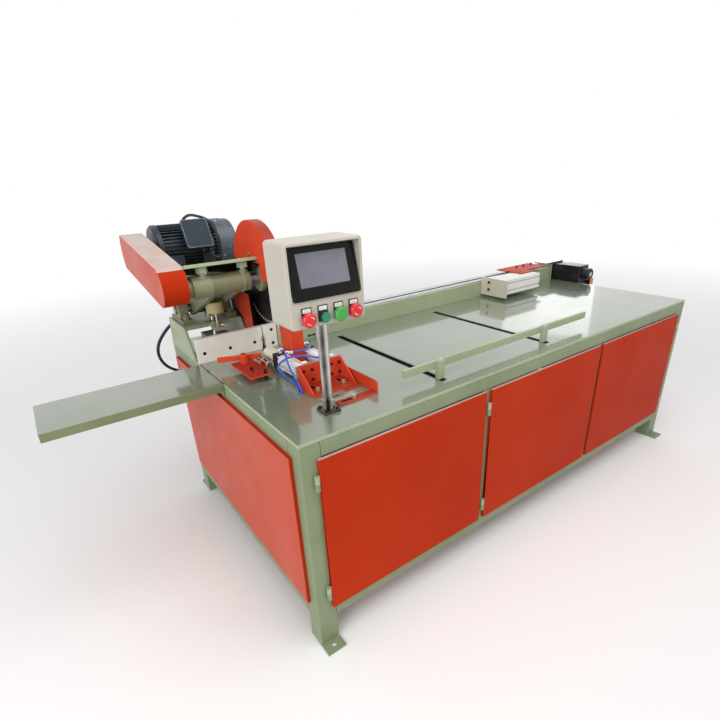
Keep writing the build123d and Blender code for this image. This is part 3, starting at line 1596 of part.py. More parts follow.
# Spindle with pulley, flanges and nut
pulley_x = (left + pulley_from, left + pulley_to)
pitch = (pulley_to - pulley_from) / belts
blade_side = (blade_x - blade_t / 2, blade_x + blade_t / 2)
grooves = [pulley_x[0] + (count + 0.5) * pitch for count in range(belts)]
shaft_left = pulley_x[0] - pulley_nose
flange_back = blade_side[0] - seat
with BuildPart() as arbor_spindle:
    bar_x((shaft_left, flange_back), *arbor, spindle_r)
    bar_x(pulley_x, *arbor, arbor_pulley_r)
    for x in grooves:
        groove_x = (x - groove_w / 2, x + groove_w / 2)
        bar_x(groove_x, *arbor, arbor_pulley_r + seat, Mode.SUBTRACT)
        bar_x(groove_x, *arbor, arbor_pulley_r - groove_deep)
    bar_x((flange_back - flange_t, flange_back), *arbor, flange_r)
    nut_at = blade_side[1] + seat + outer_flange_t
    bar_x((flange_back, nut_at), *arbor, blade_bore_r - bore_gap)
    bar_x((blade_side[1] + seat, nut_at), *arbor, outer_flange_r)
    with BuildSketch(Plane.YZ.offset(nut_at)):
        with Locations(arbor):
            RegularPolygon(arbor_nut_r, 6)
    extrude(amount=arbor_nut_h)
save(arbor_spindle, "arbor_spindle")

# Saw blade with hooked teeth and expansion slots
with BuildPart() as saw_blade:
    step = 2 * math.pi / teeth
    rim = []
    tooth = ((0, 0), (tooth_back, tooth_relief), (tooth_root, tooth_deep), (tooth_face, tooth_deep))
    for count in range(teeth):
        for share, sunk in tooth:
            angle = (count + share) * step
            r = blade_r - sunk
            rim.append((arbor_y + r * math.cos(angle), arbor_z + r * math.sin(angle)))
    plate_x(rim, blade_side)
    bar_x(blade_side, *arbor, blade_bore_r, Mode.SUBTRACT)
    slit_r = blade_r - slit_deep
    for count in range(slits):
        angle = (count * teeth / slits + slit_share) * step
        along = (math.cos(angle), math.sin(angle))
        hole = (arbor_y + slit_r * along[0], arbor_z + slit_r * along[1])
        bar_x(blade_side, *hole, slit_hole_r, Mode.SUBTRACT)
        with BuildSketch(Plane(origin=(blade_side[0], *hole), x_dir=(0, *along), z_dir=(1, 0, 0))):
            with Locations((slit_deep / 2, 0)):
                Rectangle(slit_deep, slit_w)
        extrude(amount=blade_t, mode=Mode.SUBTRACT)
save(saw_blade, "saw_blade")

# Leaning motor plate on two jack nuts
plate_axes = Plane(
    origin=(left + motor_plate_from, edge_y, edge_z), x_dir=(0, tilt_cos, -tilt_sin), z_dir=(1, 0, 0)
)
plate_top = Plane(origin=(left, edge_y, edge_z), x_dir=(1, 0, 0), z_dir=(0, tilt_sin, tilt_cos))
gland_foot = (plate_gland_x, plate_gland_along)
with BuildPart() as motor_plate:
    with BuildSketch(plate_axes):
        with Locations((motor_plate_len / 2, -motor_plate_t / 2)):
            Rectangle(motor_plate_len, motor_plate_t)
    extrude(amount=motor_plate_to - motor_plate_from)
    nut_high = edge_z - (jack_y - edge_y) * tilt_sin / tilt_cos - motor_plate_t / 2
    nut_low = nut_high - motor_plate_t / 2 - jack_nut_h
    for x in (left + jack_one, left + jack_two):
        hex_z(x, jack_y, (nut_low, nut_high), jack_flats)
        bar_z(x, jack_y, (jack_top + seat, nut_low), jack_stud_r)
    with BuildSketch(plate_top):
        with Locations(gland_foot):
            Circle(gland_r)
    extrude(amount=gland_h)
save(motor_plate, "motor_plate")

# Motor: ribbed body, end bells, feet and a bore for its shaft
motor_axes = Plane(origin=(left, motor_y, motor_z), x_dir=(0, tilt_cos, -tilt_sin), z_dir=(1, 0, 0))
motor = (motor_y, motor_z)
motor_x = (left + motor_from, left + motor_to)
with BuildPart() as motor_body:
    with BuildSketch(motor_axes.offset(motor_from)):
        Circle(motor_core_r)
        with PolarLocations(motor_core_r + fin_h / 2 - fin_root, fins):
            Rectangle(fin_h + 2 * fin_root, fin_t)
    extrude(amount=motor_to - motor_from)
    bar_x((motor_x[0] - bell_t, motor_x[0]), *motor, bell_r)
    chamfer(edges().filter_by(GeomType.CIRCLE).sort_by(Axis.X)[0], bell_chamfer)
    bar_x((motor_x[1], motor_x[1] + rear_bell_t), *motor, bell_r)
    for start in (motor_from + motor_foot_in, motor_to - motor_foot_in - motor_foot_len):
        with BuildSketch(motor_axes.offset(start)):
            for way in (-1, 1):
                with Locations((way * motor_foot_out, seat + motor_foot_t / 2 - shaft_h)):
                    Rectangle(motor_foot_w, motor_foot_t)
                web_mid = motor_web_up + motor_web_h / 2 - shaft_h
                with Locations((way * (motor_foot_out - motor_web_in), web_mid)):
                    Rectangle(motor_web_t, motor_web_h)
        extrude(amount=motor_foot_len)
    bar_x((motor_x[0] - bell_t, motor_x[1] + rear_bell_t), *motor, shaft_r + bore_gap, Mode.SUBTRACT)
save(motor_body, "motor_body")

cover_from = motor_x[1] + rear_bell_t + seat
cover_end = cover_from + fan_cover_len
with BuildPart() as fan_cover:
    end_r = fan_cover_r - fan_step
    bar_x((cover_from, cover_end), *motor, end_r)
    fillet(edges().filter_by(GeomType.CIRCLE).sort_by(Axis.X)[-1], fan_round)
    bar_x((cover_from, cover_from + fan_step_at), *motor, fan_cover_r)
    bar_x((cover_from, cover_end - fan_round), *motor, end_r - sheet, Mode.SUBTRACT)
    bar_x((cover_from, cover_end - sheet), *motor, end_r - fan_round + sheet, Mode.SUBTRACT)
    with BuildSketch(motor_axes.offset(cover_end - left)):
        for ring, count in ((vent_ring_one, vents_one), (vent_ring_two, vents_two)):
            with PolarLocations(ring, count):
                Circle(vent_r)
    extrude(amount=-2 * sheet, mode=Mode.SUBTRACT)
    bar_x((cover_from, cover_from + fan_lip_t), *motor, end_r)
    bar_x((cover_from, cover_from + fan_lip_t), *motor, bell_r - fan_lip_t, Mode.SUBTRACT)
save(fan_cover, "fan_cover")

# Rotor: shaft, grooved pulley and cooling fan
fan_face = cover_from + fan_at + fan_plate_t
with BuildPart() as motor_rotor:
    bar_x((shaft_left, fan_face + fan_blade_h), *motor, shaft_r)
    bar_x(pulley_x, *motor, motor_pulley_r)
    for x in grooves:
        groove_x = (x - groove_w / 2, x + groove_w / 2)
        bar_x(groove_x, *motor, motor_pulley_r + seat, Mode.SUBTRACT)
        bar_x(groove_x, *motor, motor_pulley_r - groove_deep)
    bar_x((cover_from + fan_at, fan_face), *motor, fan_r)
    with BuildSketch(motor_axes.offset(fan_face - left)):
        with PolarLocations(fan_blade_mid, fan_blades):
            Rectangle(fan_blade_w, fan_plate_t)
    extrude(amount=fan_blade_h)
save(motor_rotor, "motor_rotor")

# Three belts between the two pulleys
with BuildPart() as v_belts:
    sunk = groove_deep - belt_under
    for x in grooves:
        belt_x = (x - groove_w / 2 + belt_gap, x + groove_w / 2 - belt_gap)
        hull_x(((*arbor, arbor_pulley_r + belt_over), (*motor, motor_pulley_r + belt_over)), belt_x)
        inside = ((*arbor, arbor_pulley_r - sunk), (*motor, motor_pulley_r - sunk))
        hull_x(inside, belt_x, Mode.SUBTRACT)
save(v_belts, "v_belts")

# Terminal box leaning to the front of the motor
box_turn = math.radians(box_lean)
box_out = (0, -math.sin(box_turn), math.cos(box_turn))
box_x = (motor_x[0] + motor_x[1]) / 2 + box_side
box_plane = Plane(origin=(box_x, motor_y, motor_z), x_dir=(1, 0, 0), z_dir=box_out)
box_low = motor_core_r + fin_h + seat
gland_plane = box_plane.offset(box_low + gland_up)
with BuildPart() as terminal_box:
    with BuildSketch(box_plane.offset(box_low + box_neck)):
        RectangleRounded(box_w, box_h, box_round)
    extrude(amount=box_deep - box_neck)
    with BuildSketch(box_plane.offset(box_low)):
        RectangleRounded(box_w - box_neck_in, box_h - box_neck_in, box_round)
    extrude(amount=box_neck)
    with BuildSketch(box_plane.offset(box_low + box_deep)):
        RectangleRounded(box_w + box_lid_in, box_h + box_lid_in, box_round)
    extrude(amount=box_lid_t)
    gland_edge = -box_h / 2
    for x in (gland_one, gland_two):
        root = gland_plane.from_local_coords((x, gland_edge + gland_root, 0))
        tip = gland_plane.from_local_coords((x, gland_edge - gland_h, 0))
        with BuildSketch(Plane(origin=root, z_dir=tip - root)):
            Circle(gland_r)
        extrude(amount=gland_root + gland_h)
save(terminal_box, "terminal_box")

# Belt guard: closed band with a back plate
guard_turn = math.radians(guard_tilt)
guard_plane = Plane(
    origin=(left + guard_from, arbor_y - guard_back_in, arbor_z + guard_lift),
    x_dir=(0, math.cos(guard_turn), math.sin(guard_turn)),
    z_dir=(1, 0, 0),
)
guard_rear = guard_len - guard_ahead
guard_w = guard_back - guard_from
with BuildPart() as belt_guard:
    for skin, start, wide, mode in (
        (0, 0, guard_w, Mode.ADD),
        (guard_skin, guard_skin, guard_w - 2 * guard_skin, Mode.SUBTRACT),
    ):
        edge = guard_half - skin
        nose = (skin - guard_ahead - guard_front_bulge, 0)
        tail = (guard_rear + guard_rear_bulge - skin, 0)
        with BuildSketch(guard_plane.offset(start)):
            with BuildLine():
                Line((-guard_ahead, edge), (guard_rear, edge))
                ThreePointArc((guard_rear, edge), tail, (guard_rear, -edge))
                Line((guard_rear, -edge), (-guard_ahead, -edge))
                ThreePointArc((-guard_ahead, -edge), nose, (-guard_ahead, edge))
            make_face()
        extrude(amount=wide, mode=mode)
    plate_span = (left + guard_back - guard_skin, left + guard_back)
    bar_x(plate_span, *arbor, spindle_r + spindle_hole_gap, Mode.SUBTRACT)
    bar_x(plate_span, *motor, shaft_r + shaft_hole_gap, Mode.SUBTRACT)
save(belt_guard, "belt_guard")

# Blade guard: cheeks and a rim, cut away round the arbor
guard_at = (arbor_y, arbor_z + blade_guard_lift)
guard_x = (left + motor_plate_to + seat, left + motor_plate_to + seat + blade_guard_w)
cut_y = arbor_y - blade_guard_cut
far = 2 * blade_guard_r
with BuildPart() as blade_guard:
    bar_x(guard_x, *guard_at, blade_guard_r)
    inside_x = (guard_x[0] + guard_sheet, guard_x[1] - guard_sheet)
    bar_x(inside_x, *guard_at, blade_guard_r - guard_sheet, Mode.SUBTRACT)
    block(guard_x, (arbor_y - far, cut_y), (arbor_z - far, arbor_z + far), Mode.SUBTRACT)
    block(guard_x, (cut_y, arbor_y + far), (arbor_z - far, arbor_z), Mode.SUBTRACT)
    notch = flange_r + blade_guard_clear
    notch_y = (arbor_y - notch, arbor_y + notch)
    notch_z = (arbor_z, arbor_z + notch)
    rear_low = (arbor_z - far, arbor_z + blade_guard_rear)
    block((guard_x[0], inside_x[1]), (notch_y[1], arbor_y + far), rear_low, Mode.SUBTRACT)
    block((guard_x[0], inside_x[0]), (notch_y[0], arbor_y + far), notch_z, Mode.SUBTRACT)
    block((inside_x[1], guard_x[1]), notch_y, notch_z, Mode.SUBTRACT)
    bolt_x = (guard_x[0] - guard_bolt_h, guard_x[0])
    bar_x(bolt_x, arbor_y + guard_bolt_back, arbor_z + guard_bolt_up, guard_bolt_r)
save(blade_guard, "blade_guard")

# Fasteners that stay with the table: black screws and zinc bolts
with BuildPart() as table_fasteners:
    head_y = (clamp_y[0] - seat - cap_screw_h, clamp_y[0] - seat)
    for x in clamp_rods:
        for way in (-cap_screw_side, cap_screw_side):
            for lift in (-cap_screw_up, cap_screw_up):
                bar_y(x + way, head_y, clamp_axis + lift, cap_screw_r)
    base_top = top + post_base_t + seat
    for x in (-post_bolt_out, post_bolt_out):
        for y in (-post_bolt_out, post_bolt_out):
            bar_z(post_at[0] + x, post_at[1] + y, (base_top, base_top + cap_screw_h), cap_screw_r)
    sunk_y = (fence_y + fence_screw_sunk, fence_y + fence_screw_deep - seat)
    for x, z in fence_holes:
        bar_y(left + x, sunk_y, top + z, fence_screw_r - seat)
    slit_head = presser_z[1] + seat
    bar_z(slit_x, slit_mid, (slit_head, slit_head + bolt_head_h), bolt_head_r)
    bolt_spots = (
        (base_slots[0], slot_from + clamp_bolt_in, base_z[1]),
        (base_slots[1], slot_from + clamp_bolt_in, base_z[1]),
        (left + strip_bolt_x, strip_mid, strip_z[1]),
    )
    for x, y, z in bolt_spots:
        washer_top = z + seat + zinc_washer_t
        bar_z(x, y, (z + seat, washer_top), zinc_washer_r)
        hex_z(x, y, (washer_top, washer_top + zinc_head_h), zinc_head)
save(table_fasteners, "table_fasteners")

# Mounting plate in the cabinet with drives, terminals and valves
tray_x = (middle_x[0] + tray_in, middle_x[1] - tray_in)
tray_y = (back - tube - tray_gap - tray_t, back - tube - tray_gap)
tray_z = (tray_low, tray_low + tray_h)
floor_top = floor_z + sheet + seat
with BuildPart() as electrics_tray:
    block(tray_x, tray_y, tray_z)
    stay_y = (tray_y[1], tray_y[1] + stay_t)
    for x in (tray_x[0] + stay_in, tray_x[1] - stay_in - stay_w):
        block((x, x + stay_w), stay_y, (floor_top, tray_z[1]))
        block((x, x + stay_w), (tray_y[0] - stay_foot, stay_y[1]), (floor_top, floor_top + stay_t))
    drive_x0 = tray_x[0] + stay_in
    drive_z = (tray_z[1] - tray_edge - drive_h, tray_z[1] - tray_edge)
    block((drive_x0, drive_x0 + drive_w), (tray_y[0] - drive_deep, tray_y[0]), drive_z)
    supply_x = drive_x0 + drive_w + unit_gap
    block((supply_x, supply_x + supply_w), (tray_y[0] - drive_deep, tray_y[0]), drive_z)
    valve_x = supply_x + supply_w + unit_gap
    valve_z = (drive_z[1] - valve_h, drive_z[1])
    block((valve_x, tray_x[1] - stay_in), (tray_y[0] - valve_deep, tray_y[0]), valve_z)
    rail_z = (tray_z[0] + rail_up, tray_z[0] + rail_up + rail_h)
    rail_y = (tray_y[0] - stay_t, tray_y[0])
    rail_x = (drive_x0, tray_x[1] - stay_in)
    block(rail_x, rail_y, rail_z)
    breaker_z = (rail_z[0] - breaker_over, rail_z[1] + breaker_over)
    rail_room = rail_x[1] - rail_x[0] - stay_in
    for count in range(min(breakers, int(rail_room // breaker_step))):
        x = rail_x[0] + stay_in + breaker_step * count
        block((x, x + breaker_w), (rail_y[0] - breaker_deep, rail_y[0]), breaker_z)
save(electrics_tray, "electrics_tray")

# Blue air tubes: across the column, down to the table, and the return loop
air_z = fitting_z + fitting_h
nose_mid = nose_y[0] + front_cap_t / 2
rear_mid = tail_y[0] + rear_cap_t / 2
across = [
    (clamp_rods[0], nose_mid - fitting_r - seat, air_z),
    (clamp_rods[0], nose_mid - 36, air_z),
    (clamp_rods[0] + 20, nose_mid - 60, air_z + 1),
    (blade_x, nose_mid - 68, air_z + 2),
    (clamp_rods[1] - 20, nose_mid - 60, air_z + 1),
    (clamp_rods[1], nose_mid - 36, air_z),
    (clamp_rods[1], nose_mid - fitting_r - seat, air_z),
]
feed = [
    (clamp_rods[0] + 6, nose_mid - 50.2, air_z),
    (clamp_rods[0] - 10, nose_mid - 64, air_z + 6),
    (clamp_rods[0] - 25, nose_mid - 96, air_z + 12),
    (clamp_rods[0] - 39, nose_mid - 138, air_z - 8),
    (clamp_rods[0] - 45, nose_mid - 184, air_z - 34),
    (air_hole_x, nose_mid - 227, air_z - 57),
    (air_hole_x, air_holes[0], top + 8),
    (air_hole_x, air_holes[0], top - plate_t + 2),
]
loop = [
    (clamp_rods[1] - fitting_out - seat, rear_mid, air_z),
    (clamp_rods[1] - 34, rear_mid, air_z),
    (clamp_rods[1] - 62, rear_mid + 28, air_z + 4),
    (clamp_rods[0] + 22, rear_mid + 62, air_z + 6),
    (clamp_rods[0] - 20, rear_mid + 98, air_z - 4),
    (clamp_rods[0] - 58, rear_mid + 104, air_z - 30),
    (clamp_rods[0] - 56, rear_mid + 62, air_z - 47),
    (air_hole_x - 2, rear_mid + 6, air_z - 54),
    (air_hole_x, air_holes[1], top + 16),
    (air_hole_x, air_holes[1], top - plate_t + 2),
]
for name, route in (("air_tube_across", across), ("air_tube_feed", feed), ("air_tube_loop", loop)):
    with BuildPart() as air_tube:
        cord(route, air_r, name)
    save(air_tube, name)

# Power conduit from the stand to the rear panel
conduit_route = [
    (left + 66, stand_top_y[1] + seat, top + 84),
    (left + 66, back + 14, top + 84),
    (left + 20, back + 34, top + 76),
    (left - 28, back + 36, top + 32),
    (left - 60, back + 36, top - 12),
    (left - 69, back + 36, top - 62),
    (left - 52, back + 36, top - 112),
    (left - 12, back + 36, top - 150),
    (left + 42, back + 38, top - 170),
    (left + 78, back + 46, top - 172),
    (left + 78, back + panel_deep + seat, top - 172),
]
with BuildPart() as power_conduit:
    cord(conduit_route, conduit_r, "power conduit")
save(power_conduit, "power_conduit")

# Motor cable from the terminal box, over the motor to a gland on the plate's rear
gland_end = gland_plane.from_local_coords((gland_two, gland_edge - gland_h - seat, 0))
gland_run = gland_plane.from_local_coords((gland_two, gland_edge - gland_h - 28, 0))
cable_foot = plate_top.from_local_coords((*gland_foot, gland_h + seat))
cable_rise = plate_top.from_local_coords((*gland_foot, gland_h + 26))
cable_route = [
    tuple(gland_end),
    tuple(gland_run),
    (left + 242, motor_y - 150, motor_z - 42),
    (left + 242, motor_y - 156, motor_z + 30),
    (left + 236, motor_y - 142, motor_z + 66),
    (left + 230, motor_y - 110, motor_z + 94),
    (left + 226, motor_y - 78, motor_z + 110),
    (left + 210, motor_y - 32, motor_z + 120),
    (left + 193, motor_y + 46, motor_z + 126),
    (left + 176, motor_y + 96, motor_z + 106),
    (left + 160, motor_y + 124, motor_z + 60),
    (left + 146, motor_y + 130, motor_z + 8),
    (left + 140, motor_y + 116, motor_z - 44),
    tuple(cable_rise),
    tuple(cable_foot),
]
with BuildPart() as motor_cable:
    cord(cable_route, cable_r, "motor cable")
save(motor_cable, "motor_cable")
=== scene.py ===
import json
import logging
import math
from dataclasses import dataclass
from enum import Enum
from typing import Callable, Optional

import bmesh
import bpy
from mathutils import Matrix, Vector

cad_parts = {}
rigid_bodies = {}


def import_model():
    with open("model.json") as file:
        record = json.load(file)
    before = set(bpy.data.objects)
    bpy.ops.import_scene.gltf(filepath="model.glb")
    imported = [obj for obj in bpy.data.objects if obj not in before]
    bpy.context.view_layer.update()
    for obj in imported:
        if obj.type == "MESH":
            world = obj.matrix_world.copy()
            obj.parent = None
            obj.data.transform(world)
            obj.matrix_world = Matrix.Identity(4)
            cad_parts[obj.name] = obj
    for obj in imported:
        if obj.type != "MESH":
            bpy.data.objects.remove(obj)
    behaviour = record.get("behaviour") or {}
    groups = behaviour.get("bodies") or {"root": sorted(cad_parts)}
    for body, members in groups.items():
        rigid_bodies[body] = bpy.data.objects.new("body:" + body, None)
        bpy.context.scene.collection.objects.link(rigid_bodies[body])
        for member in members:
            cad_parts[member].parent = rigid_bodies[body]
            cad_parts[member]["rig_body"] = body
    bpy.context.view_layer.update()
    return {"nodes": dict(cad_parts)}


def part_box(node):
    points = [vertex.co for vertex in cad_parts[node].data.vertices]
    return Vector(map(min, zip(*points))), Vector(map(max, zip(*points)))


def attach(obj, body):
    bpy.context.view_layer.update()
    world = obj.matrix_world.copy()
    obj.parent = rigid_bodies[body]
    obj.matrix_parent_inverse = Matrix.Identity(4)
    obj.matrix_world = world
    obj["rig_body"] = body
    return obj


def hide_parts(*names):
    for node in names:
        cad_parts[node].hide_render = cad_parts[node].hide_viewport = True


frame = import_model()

log = logging.getLogger("cross_cut_saw")

Socket = bpy.types.NodeSocket

# The cabinet's left front corner on the floor is where the machine's own sizes start, in millimetres
CABINET_LENGTH = 2300.0
CABINET_DEPTH = 1210.0
TABLE_TOP = 800.0


def row(x: float, y: float, z: float) -> Vector:
    """Point of the cabinet in millimetres, as a point of the shared frame in metres."""
    return Vector((x - CABINET_LENGTH / 2, y - CABINET_DEPTH / 2, z)) / 1000


def cabinet(point: Vector) -> Vector:
    """Point of the shared frame in metres, as a point of the cabinet in millimetres."""
    return point * 1000 + Vector((CABINET_LENGTH / 2, CABINET_DEPTH / 2, 0))


def shade(red: float, green: float, blue: float) -> tuple[float, float, float, float]:
    """Linear colour of a display colour.

    Args:
        red: red from 0 to 255.
        green: green from 0 to 255.
        blue: blue from 0 to 255.

    Returns:
        The linear red, green, blue and a full alpha.
    """
    def one(value: float) -> float:
        """Linear value of one channel."""
        part = value / 255
        return part / 12.92 if part <= 0.04045 else ((part + 0.055) / 1.055) ** 2.4

    return (one(red), one(green), one(blue), 1.0)


class Graph:
    """Adds shader nodes to one tree and joins them by socket name."""

    def __init__(self, tree: bpy.types.NodeTree) -> None:
        """Keep the tree that the nodes go into."""
        self.tree = tree

    def feed(self, node: bpy.types.Node, inputs: dict) -> None:
        """Set or join a node's inputs.

        Args:
            node: the node that takes them.
            inputs: socket name or number to a value or to another node's output.
        """
        for name, value in inputs.items():
            if isinstance(value, Socket):
                self.tree.links.new(value, node.inputs[name])
            else:
                node.inputs[name].default_value = value

    def add(self, kind: str, inputs: Optional[dict] = None, **settings: object) -> bpy.types.Node:
        """Add one node.

        Args:
            kind: the node's type name.
            inputs: socket name or number to a value or to another node's output.
            settings: properties of the node.

        Returns:
            The new node.
        """
        node = self.tree.nodes.new(kind)
        for name, value in settings.items():
            setattr(node, name, value)
        self.feed(node, inputs or {})
        return node

    def use(self, group: bpy.types.NodeTree, inputs: dict) -> bpy.types.bpy_prop_collection:
        """Place a node group with these inputs and return its outputs."""
        return self.add("ShaderNodeGroup", inputs, node_tree=group).outputs

    def spot(self) -> Socket:
        """Return the point on the surface, in the shared frame."""
        return self.add("ShaderNodeTexCoord").outputs["Object"]

    def noise(self, at: object, scale: object, detail: float, rough: float = 0.5) -> Socket:
        """Add a noise texture and return its value."""
        inputs = {"Vector": at, "Scale": scale, "Detail": detail, "Roughness": rough}
        return self.add("ShaderNodeTexNoise", inputs).outputs[0]

    def math(self, operation: str, *values: object, clamp: bool = False) -> Socket:
        """Add a math node and return its value."""
        node = self.add("ShaderNodeMath", dict(enumerate(values)), operation=operation, use_clamp=clamp)
        return node.outputs[0]

    def vector(self, operation: str, *values: object) -> Socket:
        """Add a vector math node and return its vector."""
        return self.add("ShaderNodeVectorMath", dict(enumerate(values)), operation=operation).outputs[0]

    def length(self, vector: object) -> Socket:
        """Return a vector's length."""
        return self.add("ShaderNodeVectorMath", {0: vector}, operation="LENGTH").outputs["Value"]

    def mix(self, factor: object, low: object, high: object) -> Socket:
        """Add a colour mix and return its colour."""
        node = self.add("ShaderNodeMix", {0: factor, 6: low, 7: high}, data_type="RGBA")
        return node.outputs[2]

    def span(self, value: object, low: float, high: float, start: object, end: object) -> Socket:
        """Map a value from one range to another, clamped, and return it."""
        node = self.add("ShaderNodeMapRange", {0: value, 1: low, 2: high, 3: start, 4: end})
        return node.outputs[0]


class Effects:
    """Shader node groups that several finishes share, each built once."""

    @staticmethod
    def start(name: str, inputs: dict[str, str], outputs: dict[str, str]) -> Optional[tuple]:
        """Make an empty group.

        Args:
            name: the group's name.
            inputs: input names and their socket kinds.
            outputs: output names and their socket kinds.

        Returns:
            The group's helper, the sockets that it is given and its output node, or None where it exists.
        """
        if name in bpy.data.node_groups:
            return None
        group = bpy.data.node_groups.new(name, "ShaderNodeTree")
        for side, sockets in (("INPUT", inputs), ("OUTPUT", outputs)):
            for label, kind in sockets.items():
                group.interface.new_socket(label, in_out=side, socket_type="NodeSocket" + kind)
        graph = Graph(group)
        return graph, graph.add("NodeGroupInput").outputs, graph.add("NodeGroupOutput")

    @classmethod
    def film(cls) -> bpy.types.NodeTree:
        """Sprayed paint: slow change of colour, smears in the gloss and a fine orange peel.

        Returns:
            The group.
        """
        inputs = {"Colour": "Color", "Shade": "Color", "Mottle": "Float", "Rough": "Float", "Peel": "Float"}
        made = cls.start("sprayed_film", inputs, {"Colour": "Color", "Roughness": "Float", "Height": "Float"})
        if made:
            graph, given, out = made
            spot = graph.spot()
            blotch = graph.span(graph.noise(spot, given["Mottle"], 4.0, 0.55), 0.33, 0.68, 0.0, 1.0)
            low = graph.math("MULTIPLY", given["Rough"], 0.85)
            high = graph.math("MULTIPLY", given["Rough"], 1.2)
            graph.feed(out, {
                "Colour": graph.mix(blotch, given["Colour"], given["Shade"]),
                "Roughness": graph.span(graph.noise(spot, 6.0, 3.0), 0.3, 0.7, low, high),
                "Height": graph.noise(spot, given["Peel"], 1.0),
            })
        return bpy.data.node_groups["sprayed_film"]

    @classmethod
    def rub(cls) -> bpy.types.NodeTree:
        """Rubbed edges: where the surface bends sharply, broken up by noise.

        Returns:
            The group.
        """
        made = cls.start("edge_rub", {"Radius": "Float", "Amount": "Float"}, {"Mask": "Float"})
        if made:
            graph, given, out = made
            soft = graph.add("ShaderNodeBevel", {"Radius": given["Radius"]}, samples=4).outputs[0]
            flat = graph.add("ShaderNodeNewGeometry").outputs["Normal"]
            turn = graph.add("ShaderNodeVectorMath", {0: soft, 1: flat}, operation="DOT_PRODUCT")
            bend = graph.span(turn.outputs["Value"], 0.995, 0.80, 0.0, 1.0)
            broken = graph.span(graph.noise(graph.spot(), 70.0, 6.0, 0.7), 0.42, 0.62, 0.0, 1.0)
            mask = graph.math("MULTIPLY", bend, broken)
            graph.feed(out, {"Mask": graph.math("MULTIPLY", mask, given["Amount"], clamp=True)})
        return bpy.data.node_groups["edge_rub"]

    @classmethod
    def grime(cls) -> bpy.types.NodeTree:
        """Workshop dirt: loose patches with specks in them.

        Returns:
            The group.
        """
        made = cls.start("shop_grime", {"Scale": "Float", "Amount": "Float"}, {"Mask": "Float"})
        if made:
            graph, given, out = made
            spot = graph.spot()
            patch = graph.span(graph.noise(spot, given["Scale"], 6.0, 0.65), 0.5, 0.72, 0.0, 1.0)
            fine = graph.math("MULTIPLY", given["Scale"], 22.0)
            specks = graph.span(graph.noise(spot, fine, 3.0), 0.45, 0.7, 0.35, 1.0)
            mask = graph.math("MULTIPLY", patch, specks)
            graph.feed(out, {"Mask": graph.math("MULTIPLY", mask, given["Amount"], clamp=True)})
        return bpy.data.node_groups["shop_grime"]

    @classmethod
    def lines(cls) -> bpy.types.NodeTree:
        """Brushed or drawn metal: noise stretched along the working direction.

        Returns:
            The group.
        """
        made = cls.start("drawn_lines", {"Stretch": "Vector"}, {"Value": "Float", "Height": "Float"})
        if made:
            graph, given, out = made
            spot = graph.spot()
            grain = graph.noise(graph.vector("MULTIPLY", spot, given["Stretch"]), 1.0, 5.0, 0.7)
            both = graph.math("MULTIPLY", grain, graph.noise(spot, 16.0, 4.0))
            graph.feed(out, {"Value": graph.span(both, 0.12, 0.4, 0.0, 1.0), "Height": grain})
        return bpy.data.node_groups["drawn_lines"]


class Coat:
    """A finish that makes its Blender material the first time it is asked for."""

    name: str

    def material(self) -> bpy.types.Material:
        """Make this finish's material, once.

        Returns:
            The material.
        """
        known = bpy.data.materials.get("finish_" + self.name)
        if known:
            return known
        made = bpy.data.materials.new("finish_" + self.name)
        made.use_nodes = True
        self.paint(Graph(made.node_tree), made.node_tree.nodes["Principled BSDF"])
        return made

    def paint(self, graph: Graph, shader: bpy.types.Node) -> None:
        """Join this finish's nodes to the shader."""
        raise NotImplementedError

    @staticmethod
    def bump(graph: Graph, shader: bpy.types.Node, height: object, depth: float, reach: float) -> None:
        """Feed a height to the shader's normal, with its strength and its distance in metres."""
        node = graph.add("ShaderNodeBump", {"Strength": depth, "Distance": reach, "Height": height})
        graph.feed(shader, {"Normal": node.outputs[0]})


@dataclass(frozen=True)
class Paint(Coat):
    """Sprayed paint on steel or castings, with rubbed edges and dirt."""

    name: str
    colour: tuple
    deeper: tuple
    rough: float = 0.35
    mottle: float = 3.0
    peel: float = 420.0
    peel_depth: float = 0.12
    peel_reach: float = 0.0006
    rub: float = 0.35
    rub_reach: float = 0.004
    rub_colour: tuple = shade(205, 208, 196)
    dirt: float = 0.35
    dirt_scale: float = 9.0
    dirt_dulls: float = 0.3
    dirt_colour: tuple = shade(70, 62, 50)
    gloss: float = 0.0
    specular: float = 0.5
    coat_rough: float = 0.06
    coat_ior: float = 1.5

    def marks(self, graph: Graph, colour: Socket) -> Socket:
        """Return the paint's colour with its marks of use, none on plain paint."""
        return colour

    def paint(self, graph: Graph, shader: bpy.types.Node) -> None:
        """Join film, rubbed edges and grime to the shader.

        Args:
            graph: the material's helper.
            shader: the surface shader.
        """
        film = graph.use(Effects.film(), {
            "Colour": self.colour,
            "Shade": self.deeper,
            "Mottle": self.mottle,
            "Rough": self.rough,
            "Peel": self.peel,
        })
        grime = graph.use(Effects.grime(), {"Scale": self.dirt_scale, "Amount": self.dirt})["Mask"]
        rub = graph.use(Effects.rub(), {"Radius": self.rub_reach, "Amount": self.rub})["Mask"]
        dirty = graph.mix(grime, film["Colour"], self.dirt_colour)
        graph.feed(shader, {
            "Base Color": graph.mix(rub, self.marks(graph, dirty), self.rub_colour),
            "Roughness": graph.math("MULTIPLY_ADD", grime, self.dirt_dulls, film["Roughness"], clamp=True),
            "Specular IOR Level": self.specular,
            "Coat Weight": self.gloss,
            "Coat Roughness": self.coat_rough,
            "Coat IOR": self.coat_ior,
        })
        self.bump(graph, shader, film["Height"], self.peel_depth, self.peel_reach)


